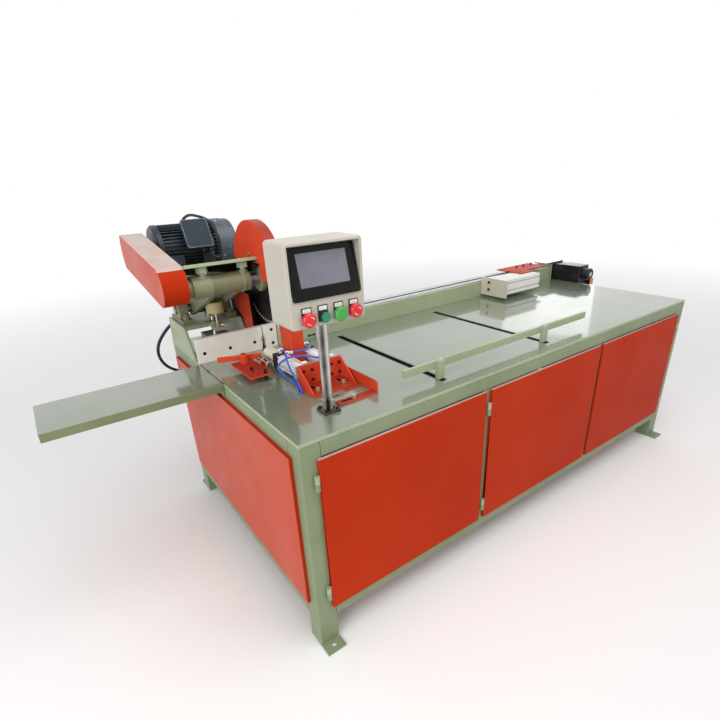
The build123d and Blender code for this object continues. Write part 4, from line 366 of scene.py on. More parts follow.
@dataclass(frozen=True)
class StainedPaint(Paint):
    """Paint with brown stains round one place, broken up by noise."""

    stain_at: tuple = (0.0, 0.0, 0.0)
    stain_reach: tuple = (0.02, 0.02, 0.02)
    stain_colour: tuple = shade(118, 74, 46)

    def marks(self, graph: Graph, colour: Socket) -> Socket:
        """Lay the stains on the paint.

        Args:
            graph: the material's helper.
            colour: the paint's colour.

        Returns:
            The colour with the stains on it.
        """
        spot = graph.spot()
        moved = graph.vector("SUBTRACT", spot, self.stain_at)
        away = graph.length(graph.vector("DIVIDE", moved, self.stain_reach))
        ragged = graph.math("MULTIPLY_ADD", graph.noise(spot, 60.0, 5.0), 1.2, away)
        return graph.mix(graph.span(ragged, 1.5, 0.7, 0.0, 0.9), colour, self.stain_colour)


@dataclass(frozen=True)
class Metal(Coat):
    """Bare metal with drawn lines and patches of tarnish."""

    name: str
    colour: tuple
    deeper: tuple
    stretch: tuple = (40.0, 900.0, 900.0)
    rough: float = 0.28
    spread: float = 0.2
    depth: float = 0.12
    reach: float = 0.0002
    dirt: float = 0.25
    dirt_scale: float = 14.0
    dirt_colour: tuple = shade(58, 52, 46)
    metallic: float = 1.0

    def paint(self, graph: Graph, shader: bpy.types.Node) -> None:
        """Join lines and tarnish to the shader.

        Args:
            graph: the material's helper.
            shader: the surface shader.
        """
        lines = graph.use(Effects.lines(), {"Stretch": self.stretch})
        grime = graph.use(Effects.grime(), {"Scale": self.dirt_scale, "Amount": self.dirt})["Mask"]
        clean = graph.mix(lines["Value"], self.deeper, self.colour)
        graph.feed(shader, {
            "Base Color": graph.mix(grime, clean, self.dirt_colour),
            "Roughness": graph.span(lines["Value"], 0.0, 1.0, self.rough + self.spread, self.rough),
            "Metallic": self.metallic,
        })
        self.bump(graph, shader, lines["Height"], self.depth, self.reach)


@dataclass(frozen=True)
class PolishedTube(Coat):
    """Polished upright tube with broad bands round it, which are painted reflections, and fine drawn lines
    along it.
    """

    name: str
    colour: tuple
    deeper: tuple
    axis: tuple
    reflection_bands: float
    turn: float
    rough: float = 0.2
    spread: float = 0.1
    stretch: tuple = (420.0, 420.0, 1.5)
    depth: float = 0.1
    reach: float = 0.0002

    def paint(self, graph: Graph, shader: bpy.types.Node) -> None:
        """Join the painted reflection bands and the drawn lines to the shader.

        Args:
            graph: the material's helper.
            shader: the surface shader.
        """
        moved = graph.vector("SUBTRACT", graph.spot(), self.axis)
        apart = graph.add("ShaderNodeSeparateXYZ", {0: moved}).outputs
        angle = graph.math("ARCTAN2", apart[1], apart[0])
        band = graph.math("SINE", graph.math("MULTIPLY_ADD", angle, self.reflection_bands, self.turn))
        lines = graph.use(Effects.lines(), {"Stretch": self.stretch})
        reflection_and_lines = graph.math("MULTIPLY_ADD", lines["Value"], 0.7, band)
        graph.feed(shader, {
            "Base Color": graph.mix(graph.span(reflection_and_lines, -0.8, 1.3, 0.0, 1.0), self.deeper, self.colour),
            "Roughness": graph.span(reflection_and_lines, -0.8, 1.3, self.rough + self.spread, self.rough),
            "Metallic": 1.0,
        })
        self.bump(graph, shader, lines["Height"], self.depth, self.reach)


@dataclass(frozen=True)
class Moulded(Coat):
    """Moulded plastic or rubber with a fine texture, dust and rubbed edges."""

    name: str
    colour: tuple
    deeper: tuple
    rough: float = 0.4
    mottle: float = 18.0
    texture: float = 900.0
    depth: float = 0.1
    reach: float = 0.0003
    dust: float = 0.3
    dust_scale: float = 20.0
    dust_colour: tuple = shade(150, 145, 135)
    rub: float = 0.2
    rub_reach: float = 0.0015
    gloss: float = 0.0
    specular: float = 0.5
    coat_rough: float = 0.05
    coat_ior: float = 1.5

    def paint(self, graph: Graph, shader: bpy.types.Node) -> None:
        """Join texture, dust and rubbed edges to the shader.

        Args:
            graph: the material's helper.
            shader: the surface shader.
        """
        film = graph.use(Effects.film(), {
            "Colour": self.colour,
            "Shade": self.deeper,
            "Mottle": self.mottle,
            "Rough": self.rough,
            "Peel": self.texture,
        })
        grime = graph.use(Effects.grime(), {"Scale": self.dust_scale, "Amount": self.dust})["Mask"]
        rub = graph.use(Effects.rub(), {"Radius": self.rub_reach, "Amount": self.rub})["Mask"]
        dusty = graph.mix(grime, film["Colour"], self.dust_colour)
        graph.feed(shader, {
            "Base Color": graph.mix(rub, dusty, self.dust_colour),
            "Roughness": film["Roughness"],
            "Specular IOR Level": self.specular,
            "Coat Weight": self.gloss,
            "Coat Roughness": self.coat_rough,
            "Coat IOR": self.coat_ior,
        })
        self.bump(graph, shader, film["Height"], self.depth, self.reach)


@dataclass(frozen=True)
class GroundBlade(Coat):
    """Ground saw steel with rings round the arbor and pale teeth."""

    name: str
    colour: tuple
    deeper: tuple
    tooth: tuple
    arbor: tuple
    teeth_from: float = 0.1706
    teeth_fade: float = 0.002
    tooth_metallic: float = 0.15
    depth: float = 0.08
    reach: float = 0.0002

    def paint(self, graph: Graph, shader: bpy.types.Node) -> None:
        """Join the grinding rings and the teeth's pale rim to the shader.

        Args:
            graph: the material's helper.
            shader: the surface shader.
        """
        spot = graph.spot()
        moved = graph.vector("SUBTRACT", spot, self.arbor)
        away = graph.length(graph.vector("MULTIPLY", moved, (0, 1, 1)))
        ringed = {"W": away, "Scale": 900.0, "Detail": 4.0}
        rings = graph.add("ShaderNodeTexNoise", ringed, noise_dimensions="1D").outputs[0]
        both = graph.math("MULTIPLY", rings, graph.noise(spot, 24.0, 5.0))
        steel = graph.mix(graph.span(both, 0.12, 0.4, 0.0, 1.0), self.deeper, self.colour)
        edge = graph.span(away, self.teeth_from, self.teeth_from + self.teeth_fade, 0.0, 1.0)
        graph.feed(shader, {
            "Base Color": graph.mix(edge, steel, self.tooth),
            "Roughness": graph.span(both, 0.1, 0.4, 0.5, 0.26),
            "Metallic": graph.span(edge, 0.0, 1.0, 1.0, self.tooth_metallic),
        })
        self.bump(graph, shader, rings, self.depth, self.reach)


ARBOR_POINT = row(280, 745, 1113)


class Finish(Enum):
    """The finishes of this machine."""

    SAGE = Paint(
        "sage_paint", shade(168, 180, 146), shade(158, 171, 136), rough=0.34, dirt=0.2, specular=0.35
    )
    SAGE_CAST = Paint(
        "sage_cast", shade(146, 149, 116), shade(124, 127, 97),
        rough=0.42, peel=150.0, peel_depth=0.35, dirt=0.45, dirt_colour=shade(84, 76, 58),
    )
    CAST_DEEP = Paint(
        "cast_body", shade(130, 129, 95), shade(107, 106, 76),
        rough=0.42, peel=110.0, peel_depth=0.4, dirt=0.5, dirt_colour=shade(84, 70, 54),
    )
    # A darker copy of the sage paint, painted shade on the frame's rails and legs; the arbor housing's ring
    # takes it too.
    SAGE_FRAME_SHADED = Paint(
        "sage_frame_shaded", shade(138, 151, 118), shade(128, 142, 109), rough=0.36, dirt=0.2, specular=0.25
    )
    # A darker copy of the sage paint, painted shade on the outfeed's skirts.
    SAGE_SHADED = Paint("sage_shade", shade(126, 136, 100), shade(114, 125, 90), rough=0.35, specular=0.35)
    # Dark, dull paint under the motor plate and on its flange, painted shade under the plate.
    UNDERSIDE_SHADE = Paint(
        "plate_underside_shade", shade(58, 56, 44), shade(48, 46, 36), rough=0.9, rub=0.1, specular=0.0
    )
    # The strong pale edge rub is partly real wear and partly a painted highlight along the table's edges.
    TABLE = Paint(
        "table_paint", shade(122, 133, 113), shade(113, 124, 105),
        rough=0.24, mottle=1.6, peel=160.0, peel_depth=0.05,
        rub=0.7, rub_colour=shade(214, 218, 206),
        dirt=0.25, dirt_scale=5.0, dirt_colour=shade(118, 122, 106),
        gloss=1.0, coat_ior=1.62,
    )
    ORANGE = Paint(
        "orange_paint", shade(190, 53, 18), shade(177, 46, 15),
        rough=0.4, mottle=1.4, rub=0.3, rub_colour=shade(226, 116, 84), dirt=0.0, specular=0.04,
    )
    # A lighter copy of the orange paint, painted light on the guards, the clamp bracket and the presser.
    ORANGE_LIT = Paint(
        "orange_painted_light", shade(224, 78, 46), shade(211, 68, 39),
        rough=0.36, mottle=5.0, rub=0.4, rub_colour=shade(238, 140, 108),
        dirt=0.1, dirt_colour=shade(120, 34, 20), specular=0.1,
    )
    # A darker copy of the orange paint, painted shade on flat tops, on the pusher bracket's sides and on the
    # blade guard's rim.
    ORANGE_SHADED = Paint(
        "orange_painted_shade", shade(168, 52, 32), shade(146, 40, 24),
        rough=0.36, mottle=12.0, rub=0.4, rub_colour=shade(222, 110, 80),
        dirt=0.25, dirt_colour=shade(92, 30, 20), specular=0.25,
    )
    # A paler copy of the orange paint for faces that look to the sides, a painted sheen; its pale patches are
    # painted sheen too.
    ORANGE_SHEEN = Paint(
        "orange_painted_sheen", shade(202, 64, 34), shade(200, 82, 56),
        rough=0.36, mottle=1.6, rub=0.3, rub_colour=shade(230, 130, 100),
        dirt=0.1, dirt_colour=shade(196, 140, 126), specular=0.16,
    )
    ORANGE_DUST = Paint(
        "orange_dusted", shade(198, 186, 180), shade(196, 164, 152),
        rough=0.5, mottle=9.0, rub=0.4, rub_colour=shade(226, 130, 100),
        dirt=0.5, dirt_scale=6.0, dirt_colour=shade(198, 134, 114),
    )
    # Pale pink on the doors' top lips and the servo flange's top, a painted reflection on upward faces.
    ORANGE_LIP_REFLECTION = Paint(
        "orange_lip_reflection", shade(212, 170, 172), shade(204, 158, 160),
        rough=0.25, rub=0.2, dirt=0.1, gloss=1.0, coat_ior=1.9,
    )
    CREAM = Paint(
        "cream_paint", shade(192, 187, 174), shade(184, 178, 164), rough=0.36, rub=0.25, dirt=0.1, gloss=0.1
    )
    PUSHER = Paint("pusher_paint", shade(216, 209, 188), shade(206, 198, 176), rough=0.4, rub=0.25, dirt=0.15)
    FENCE = StainedPaint(
        "fence_paint", shade(242, 237, 228), shade(232, 224, 213),
        rough=0.42, mottle=9.0, rub=0.4, rub_colour=shade(150, 130, 108),
        dirt=0.2, dirt_scale=16.0, dirt_colour=shade(168, 138, 112),
        stain_at=tuple(row(280, 820, 838)), stain_reach=(0.016, 0.03, 0.03),
    )
    MOTOR = Paint(
        "motor_paint", shade(36, 44, 53), shade(28, 35, 43),
        rough=0.36, rub=0.5, rub_colour=shade(140, 150, 158),
        dirt=0.2, dirt_colour=shade(30, 31, 33), specular=0.35,
    )
    # The heavy pale edge rub on the terminal box and fan cover is partly real wear and partly painted
    # highlights on their edges.
    BOX = Paint(
        "box_paint", shade(46, 57, 68), shade(39, 49, 60),
        rough=0.34, rub=0.9, rub_colour=shade(150, 164, 176),
        dirt=0.15, dirt_colour=shade(36, 40, 46), specular=0.15,
    )
    COWL = Paint(
        "cowl_paint", shade(76, 88, 100), shade(66, 78, 90),
        rough=0.32, rub=0.8, rub_colour=shade(186, 194, 200), dirt=0.15, gloss=0.15,
    )
    STEEL = Metal("machined_steel", shade(196, 196, 194), shade(150, 148, 144))
    DARK_STEEL = Metal("dark_steel", shade(122, 114, 106), shade(82, 76, 70), rough=0.35)
    CHROME = Metal(
        "hard_chrome", shade(226, 226, 226), shade(190, 190, 190), rough=0.12, spread=0.1, dirt=0.1
    )
    # The post's three broad dark and light bands round it are painted reflections.
    STAINLESS = PolishedTube(
        "polished_tube_reflections", shade(224, 221, 215), shade(50, 41, 36),
        axis=tuple(row(180, 130, 0)), reflection_bands=3.0, turn=math.radians(288),
    )
    ZINC = Metal("zinc_plate", shade(216, 210, 176), shade(178, 170, 134), rough=0.34)
    ALUMINIUM = Metal(
        "anodised", shade(222, 223, 224), shade(196, 198, 200),
        stretch=(8.0, 500.0, 500.0), rough=0.36, dirt=0.15,
    )
    EXTRUSION = Metal(
        "bright_extrusion", shade(248, 247, 243), shade(234, 233, 228),
        stretch=(6.0, 400.0, 400.0), rough=0.4, dirt=0.06, metallic=0.1,
    )
    BARREL = Metal(
        "cylinder_tube", shade(246, 245, 241), shade(228, 226, 220),
        stretch=(500.0, 8.0, 500.0), rough=0.3, dirt=0.04, metallic=0.1,
    )
    BLADE = GroundBlade(
        "blade_steel", shade(78, 78, 79), shade(42, 42, 44),
        tooth=shade(186, 184, 180), arbor=tuple(ARBOR_POINT),
    )
    RUBBER = Moulded(
        "belt_rubber", shade(34, 34, 35), shade(24, 24, 25), rough=0.7, texture=1400.0, depth=0.3
    )
    BLACK = Moulded(
        "black_plastic", shade(28, 28, 29), shade(20, 20, 21), rough=0.42, dust=0.15, specular=0.35
    )
    # Black oxide on screws and bolts; the same dark finish is painted shade on dark sheets and in slots,
    # holes, the dust chute and the blade guard.
    OXIDE_AND_SHADE = Moulded(
        "black_oxide_and_shade", shade(26, 26, 27), shade(18, 18, 18), rough=0.4, dust=0.1, rub=0.4, specular=0.3
    )
    # The servo's top faces: a gloss coat for a real reflection, and a paler grey that is a painted sheen.
    SERVO_LID_SHEEN = Moulded(
        "servo_lid_sheen", shade(60, 60, 63), shade(50, 50, 53), rough=0.4, dust=0.3, gloss=0.3, coat_ior=1.6
    )
    BEZEL = Moulded(
        "panel_gloss", shade(13, 12, 14), shade(10, 9, 11), rough=0.2, dust=0.05, specular=0.15, gloss=0.05
    )
    # The screen's mid grey is a painted reflection on a dark screen.
    SCREEN = Moulded(
        "panel_screen_reflection", shade(112, 112, 124), shade(102, 102, 114), rough=0.16, dust=0.2, gloss=0.5
    )
    RED = Moulded("red_plastic", shade(220, 22, 32), shade(202, 16, 25), rough=0.25, gloss=0.3, dust=0.05)
    GREEN = Moulded("green_plastic", shade(66, 166, 62), shade(54, 150, 52), rough=0.28, gloss=0.3, dust=0.05)
    DEEP_GREEN = Moulded(
        "deep_green_plastic", shade(0, 138, 94), shade(0, 122, 82), rough=0.25, gloss=0.3, dust=0.05
    )
    RING_GREEN = Moulded("ring_plastic", shade(10, 66, 48), shade(8, 52, 38), rough=0.3, dust=0.05)
    NYLON = Moulded(
        "pad_plastic", shade(216, 202, 154), shade(198, 182, 130), rough=0.5, texture=500.0, dust=0.2
    )
    PAD = Moulded("ram_pad", shade(236, 230, 208), shade(224, 216, 190), rough=0.5, texture=500.0, dust=0.15)
    TIP = Moulded("tooth_tip", shade(190, 188, 182), shade(164, 162, 156), rough=0.35, dust=0.1)
    WHITE = Moulded("white_plastic", shade(240, 240, 236), shade(228, 228, 222), rough=0.35, dust=0.1)
    PALE = Moulded("pale_cap", shade(188, 204, 198), shade(172, 190, 184), rough=0.4, dust=0.1)
    BLUE = Moulded("blue_tube", shade(24, 84, 206), shade(18, 70, 186), rough=0.3, gloss=0.4, dust=0.1)
    PLUG = Moulded("orange_plastic", shade(238, 126, 30), shade(224, 112, 24), rough=0.35, dust=0.1)


@dataclass(frozen=True)
class EdgeBreak:
    """How far a piece's outer edges are broken, in millimetres, and the shortest edge that is."""

    width: float
    shortest: float = 6.0
    segments: int = 2


SHARP = EdgeBreak(0.4, 8.0, 1)
FOLDED = EdgeBreak(1.6, 12.0, 3)
TUBE = EdgeBreak(4.0, 110.0, 3)
CAST = EdgeBreak(2.0, 10.0, 3)

Pick = Callable[[Vector, Vector], Finish]
PAN_HEAD = ((1.0, 0.0), (1.0, 0.45), (0.8, 0.62), (0.45, 0.66), (0.4, 0.3), (0.0, 0.3))
TURNED_STEPS = 24

# Points nearer than these, in metres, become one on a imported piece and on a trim
SAME_POINT = 2e-5
SAME_TRIM_POINT = 1e-6

# Faces that bend less become one, edges that bend more stay sharp or are broken
FLAT_BELOW = math.radians(0.4)
SHARP_ABOVE = math.radians(32)
BROKEN_ABOVE = math.radians(40)

# The part of a face's normal along one way that makes it a top or a side
FACING = 0.8
LEANING = 0.5


def screw(radius: float) -> tuple:
    """Profile of a socket pan head of this radius, in millimetres."""
    return tuple((radius * out, radius * up) for out, up in PAN_HEAD)


class Assembly:
    """Pieces that are built and dressed together."""

    @staticmethod
    def stand(name: str, mesh: bpy.types.Mesh, edge: EdgeBreak) -> tuple:
        """Put a mesh into the scene with its edges broken.

        Args:
            name: the piece's name.
            mesh: its mesh in the shared frame.
            edge: how its edges are broken.

        Returns:
            The piece and the modifier that breaks its edges.
        """
        piece = bpy.data.objects.new(name, mesh)
        bpy.context.scene.collection.objects.link(piece)
        broken = piece.modifiers.new("broken_edges", "BEVEL")
        broken.width = edge.width / 1000
        broken.segments = edge.segments
        broken.harden_normals = True
        return piece, broken

    def dress(
        self, node: str, finish: Finish, edge: EdgeBreak = SHARP, pick: Optional[Pick] = None
    ) -> bpy.types.Object:
        """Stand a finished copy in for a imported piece.

        Args:
            node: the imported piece's name.
            finish: the finish of every face, where nothing is picked.
            edge: how the outer edges are broken.
            pick: chooses a finish from a face's middle in cabinet millimetres and its normal.

        Returns:
            The finished piece, riding on the same body.
        """
        source = frame["nodes"][node]
        mesh = source.data.copy()
        mesh.name = node + "_mesh"
        mesh.materials.clear()
        body = bmesh.new()
        body.from_mesh(mesh)
        bmesh.ops.remove_doubles(body, verts=body.verts, dist=SAME_POINT)
        bmesh.ops.dissolve_limit(
            body, angle_limit=FLAT_BELOW, verts=body.verts, edges=body.edges, use_dissolve_boundaries=False
        )
        used: list[Finish] = []
        for face in body.faces:
            choice = pick(cabinet(face.calc_center_median()), face.normal) if pick else finish
            if choice not in used:
                used.append(choice)
            face.material_index = used.index(choice)
            face.smooth = True
        weights = body.edges.layers.float.new("bevel_weight_edge")
        for side in body.edges:
            if len(side.link_faces) == 2 and side.is_convex and side.calc_length() * 1000 >= edge.shortest:
                if side.calc_face_angle(0.0) > BROKEN_ABOVE:
                    side[weights] = 1.0
        body.to_mesh(mesh)
        body.free()
        old = mesh.attributes.get("custom_normal")
        if old:
            mesh.attributes.remove(old)
        mesh.set_sharp_from_angle(angle=SHARP_ABOVE)
        for choice in used:
            mesh.materials.append(choice.value.material())
        piece, broken = self.stand(node + "_dressed", mesh, edge)
        broken.limit_method = "WEIGHT"
        broken.use_clamp_overlap = False
        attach(piece, source["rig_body"])
        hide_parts(node)
        log.info("%s dressed with %s", node, ", ".join(choice.value.name for choice in used))
        return piece

    def trim(
        self, name: str, node: str, finish: Finish, body: bmesh.types.BMesh, edge: float
    ) -> bpy.types.Object:
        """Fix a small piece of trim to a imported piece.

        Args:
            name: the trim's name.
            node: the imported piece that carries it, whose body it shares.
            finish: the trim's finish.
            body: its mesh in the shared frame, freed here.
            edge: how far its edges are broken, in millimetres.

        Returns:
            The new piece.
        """
        bmesh.ops.remove_doubles(body, verts=body.verts, dist=SAME_TRIM_POINT)
        bmesh.ops.recalc_face_normals(body, faces=body.faces)
        for face in body.faces:
            face.smooth = True
        mesh = bpy.data.meshes.new(name + "_mesh")
        body.to_mesh(mesh)
        body.free()
        mesh.set_sharp_from_angle(angle=SHARP_ABOVE)
        mesh.materials.append(finish.value.material())
        piece, _ = self.stand(name, mesh, EdgeBreak(edge))
        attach(piece, frame["nodes"][node]["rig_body"])
        log.info("%s fixed to %s", name, node)
        return piece

    @staticmethod
    def turn(body: bmesh.types.BMesh, profile: tuple, foot: Vector, way: Vector) -> None:
        """Add a turned form to a mesh.

        Args:
            body: the mesh that it is added to.
            profile: pairs of radius and height in millimetres, from foot to top.
            foot: where its axis starts, in cabinet millimetres.
            way: the direction of its axis.
        """
        stand = Matrix.Translation(row(*foot)) @ way.to_track_quat("Z", "Y").to_matrix().to_4x4()
        line = [body.verts.new(stand @ (Vector((radius, 0, height)) / 1000)) for radius, height in profile]
        edges = [body.edges.new(pair) for pair in zip(line, line[1:])]
        bmesh.ops.spin(
            body, geom=line + edges, cent=stand.translation, axis=way.normalized(),
            angle=2 * math.pi, steps=TURNED_STEPS, use_merge=True,
        )

    @staticmethod
    def skin(body: bmesh.types.BMesh, rings: list, round_trip: bool = False) -> None:
        """Join rings of points into a closed form in a mesh.

        Args:
            body: the mesh that it is added to.
            rings: the rings in turn, each as points in cabinet millimetres.
            round_trip: whether the last ring joins the first, or both are closed with a face.
        """
        made = [[body.verts.new(row(*point)) for point in ring] for ring in rings]
        following = made[1:] + made[:1] if round_trip else made[1:]
        for one, two in zip(made, following):
            for side in range(len(one)):
                body.faces.new((one[side], one[side - 1], two[side - 1], two[side]))
        if not round_trip:
            body.faces.new(made[0])
            body.faces.new(made[-1])

    @staticmethod
    def plate(body: bmesh.types.BMesh, low: tuple, high: tuple) -> None:
        """Add a flat plate to a mesh.

        Args:
            body: the mesh that it is added to.
            low: its nearest corner in cabinet millimetres.
            high: its furthest corner in cabinet millimetres.
        """
        near, far = row(*low), row(*high)
        size = Matrix.Diagonal((*(far - near), 1.0))
        bmesh.ops.create_cube(body, size=1.0, matrix=Matrix.Translation((near + far) / 2) @ size)


@dataclass(frozen=True)
class Lamp:
    """One soft light: place and aim in cabinet millimetres, size in metres, power in watts."""

    name: str
    place: tuple
    aim: tuple
    size: float
    power: float

    def hang(self) -> None:
        """Hang the light, unseen by the camera."""
        data = bpy.data.lights.new(self.name, "AREA")
        data.energy = self.power
        data.size = self.size
        lamp = bpy.data.objects.new(self.name, data)
        bpy.context.scene.collection.objects.link(lamp)
        lamp.visible_camera = False
        place = row(*self.place)
        way = (row(*self.aim) - place).to_track_quat("-Z", "Y")
        lamp.matrix_world = Matrix.Translation(place) @ way.to_matrix().to_4x4()


@dataclass
class Studio:
    """Camera at the photograph's place, pale floor, soft lights and a white surround."""

    lens: float = 23.4743
    sensor: float = 36.0
    shift: tuple = (-0.01691, 0.05113)
    view_end: float = 200.0
    place: tuple = (-463.14, -1015.25, 1453.45)
    right: tuple = (0.80491006, -0.59207924, -0.03952176)
    down: tuple = (-0.28094672, -0.3215778, -0.90424369)
    ahead: tuple = (0.5226746, 0.73893835, -0.42518393)
    floor_half: float = 40.0
    floor_tones: tuple = ((0.955, 0.955, 0.955, 1.0), (0.965, 0.965, 0.965, 1.0))
    floor_rough: float = 0.95
    floor_fade: tuple = (2.2, 7.0)
    ambient: float = 0.62
    white: tuple = (1.0, 1.0, 1.0, 1.0)
    lamps: tuple = (
        Lamp("overhead", (800, -500, 3300), (1000, 750, 800), 2.6, 42.0),
        Lamp("front_right", (3200, -3000, 2600), (1300, 500, 700), 2.6, 4.0),
        Lamp("front_left", (-2600, -1100, 2000), (250, 600, 900), 2.0, 44.0),
        Lamp("far_window", (4560, 2315, 1500), (2000, 600, 800), 1.0, 3.0),
    )

    def build(self) -> None:
        """Make the camera, the floor, the lights and the world."""
        self.camera()
        self.floor()
        for lamp in self.lamps:
            lamp.hang()
        self.world()

    def camera(self) -> None:
        """Stand the camera where the photograph was taken."""
        data = bpy.data.cameras.new("photo_camera")
        data.sensor_width = self.sensor
        data.lens = self.lens
        data.shift_x, data.shift_y = self.shift
        data.clip_end = self.view_end
        camera = bpy.data.objects.new("photo_camera", data)
        bpy.context.scene.collection.objects.link(camera)
        turn = Matrix((self.right, -Vector(self.down), -Vector(self.ahead))).transposed()
        camera.matrix_world = Matrix.Translation(row(*self.place)) @ turn.to_4x4()
        bpy.context.scene.camera = camera

    def floor(self) -> None:
        """Lay a pale floor under the machine that fades out into the surround."""
        mesh = bpy.data.meshes.new("studio_floor")
        body = bmesh.new()
        bmesh.ops.create_grid(body, x_segments=8, y_segments=8, size=self.floor_half)
        body.to_mesh(mesh)
        body.free()
        floor = bpy.data.objects.new("studio_floor", mesh)
        bpy.context.scene.collection.objects.link(floor)
        material = bpy.data.materials.new("studio_floor")
        material.use_nodes = True
        graph = Graph(material.node_tree)
        spot = graph.spot()
        graph.feed(material.node_tree.nodes["Principled BSDF"], {
            "Base Color": graph.mix(graph.noise(spot, 2.0, 3.0), *self.floor_tones),
            "Roughness": self.floor_rough,
            "Alpha": graph.span(graph.length(spot), *self.floor_fade, 1.0, 0.0),
        })
        mesh.materials.append(material)

    def world(self) -> None:
        """Surround the machine with soft white, brighter where it is seen or mirrored."""
        world = bpy.data.worlds.new("studio")
        world.use_nodes = True
        bpy.context.scene.world = world
        graph = Graph(world.node_tree)
        ray = graph.add("ShaderNodeLightPath").outputs
        seen = graph.math("MAXIMUM", ray["Is Camera Ray"], ray["Is Glossy Ray"])
        seen = graph.math("MAXIMUM", seen, ray["Is Transmission Ray"])
        level = graph.span(seen, 0.0, 1.0, self.ambient, 1.0)
        graph.feed(world.node_tree.nodes["Background"], {"Color": self.white, "Strength": level})
        bpy.context.scene.view_settings.view_transform = "Standard"


@dataclass(frozen=True)
class CordRoute:
    """One free cord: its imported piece, thickness, length and route in cabinet millimetres."""

    node: str
    radius: float
    length: float
    finish: Finish
    slot: str
    stiffness: str
    route: tuple


@dataclass
class Cords:
    """The air tubes, the power conduit and the motor's cable."""

    cords: tuple = (
        CordRoute(
            "air_tube_across", 3.5, 188, Finish.BLUE, "blue_tube", "medium",
            (
                (226, 534, 880), (226, 504.2, 880), (246, 480.2, 881), (280, 472.2, 882),
                (315, 480.2, 881), (335, 504.2, 880), (335, 534, 880),
            ),
        ),
        CordRoute(
            "air_tube_feed", 3.5, 247, Finish.BLUE, "blue_tube", "medium",
            (
                (232, 490, 880), (216, 476.2, 886), (201, 444.2, 892), (187, 402.2, 872),
                (181, 356.2, 846), (178, 313.2, 823), (178, 295, 808), (178, 295, 790),
            ),
        ),
        CordRoute(
            "air_tube_loop", 3.5, 367, Finish.BLUE, "blue_tube", "medium",
            (
                (325.8, 358.2, 880), (301, 358.2, 880), (273, 386.2, 884), (248, 420.2, 886),
                (206, 456.2, 876), (168, 462.2, 850), (170, 420.2, 833), (176, 364.2, 826),
                (178, 321, 816), (178, 321, 790),
            ),
        ),
        CordRoute(
            "power_conduit", 7.0, 483, Finish.BLACK, "black_plastic", "stiff",
            (
                (66, 1180.2, 884), (66, 1224, 884), (20, 1244, 876), (-28, 1246, 832),
                (-60, 1246, 788), (-69, 1246, 738), (-52, 1246, 688), (-12, 1246, 650),
                (42, 1248, 630), (78, 1256, 628), (78, 1222.2, 628),
            ),
        ),
        CordRoute(
            "motor_cable", 6.0, 660, Finish.BLACK, "black_plastic", "stiff",
            (
                (207, 1070.4, 1190.4), (207, 1058.2, 1165.4), (242, 1054.2, 1164.6), (242, 1048.2, 1236.6),
                (236, 1062.2, 1272.6), (230, 1094.2, 1300.6), (226, 1126.2, 1316.6), (210, 1172.2, 1326.6),
                (193, 1250.2, 1332.6), (176, 1300.2, 1312.6), (160, 1328.2, 1266.6), (146, 1334.2, 1214.6),
                (140, 1320.2, 1162.6), (140, 1295.9, 1120.6), (140, 1290.8, 1095.3),
            ),
        ),
    )

    def build(self) -> None:
        """Run each cord on its own route."""
        for cord in self.cords:
            data = bpy.data.curves.new(cord.node + "_line", "CURVE")
            data.dimensions = "3D"
            data.resolution_u = 12
            data.bevel_depth = cord.radius / 1000
            data.bevel_resolution = 4
            data.use_fill_caps = True
            line = data.splines.new("NURBS")
            line.points.add(len(cord.route) - 1)
            for point, spot in zip(line.points, cord.route):
                point.co = (*row(*spot), 1.0)
            line.order_u = 3
            line.use_endpoint_u = True
            data.materials.append(cord.finish.value.material())
            piece = bpy.data.objects.new(cord.node + "_run", data)
            bpy.context.scene.collection.objects.link(piece)
            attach(piece, frame["nodes"][cord.node]["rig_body"])
            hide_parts(cord.node)
            row(*cord.route[0])
            log.info("%s runs %d mm", cord.node, cord.length)


@dataclass
class Cabinet(Assembly):
    """Welded frame, panels and doors."""

    door_spans: tuple = (
        ("door_left", 53.0, 753.0), ("door_middle", 781.0, 1492.0), ("door_right", 1520.0, 2234.0)
    )
    door_top: float = 737.8
    door_margin: float = 1.0
    tray_front: float = 1143.0

    def build(self) -> None:
        """Dress the frame, the panels and the three doors."""
        self.dress("frame", Finish.SAGE_FRAME_SHADED, TUBE)
        self.dress("cabinet_panels", Finish.ORANGE, FOLDED, self.panel_face)
        for door, low, high in self.door_spans:
            self.dress(door, Finish.ORANGE, FOLDED, self.door_face(low, high))
        self.dress("electrics_tray", Finish.ZINC, SHARP, self.tray_face)

    def panel_face(self, spot: Vector, normal: Vector) -> Finish:
        """Give the end panels their paler painted sheen."""
        return Finish.ORANGE_SHEEN if abs(normal.x) > FACING else Finish.ORANGE

    def door_face(self, low: float, high: float) -> Pick:
        """Make the choice for one door: green hinges, a pale top lip painted as a reflection, orange tray.

        Args:
            low: where the door starts along the cabinet.
            high: where it ends.

        Returns:
            The choice of a face's finish.
        """
        def choose(spot: Vector, normal: Vector) -> Finish:
            """Choose one face's finish.

            Args:
                spot: the face's middle in cabinet millimetres.
                normal: the way it looks.

            Returns:
                Its finish.
            """
            if not low - self.door_margin < spot.x < high + self.door_margin:
                return Finish.SAGE
            lip = normal.z > FACING and spot.z > self.door_top - self.door_margin
            return Finish.ORANGE_LIP_REFLECTION if lip else Finish.ORANGE

        return choose

    def tray_face(self, spot: Vector, normal: Vector) -> Finish:
        """Leave the plate zinc and make what it carries black."""
        return Finish.BLACK if spot.y < self.tray_front else Finish.ZINC


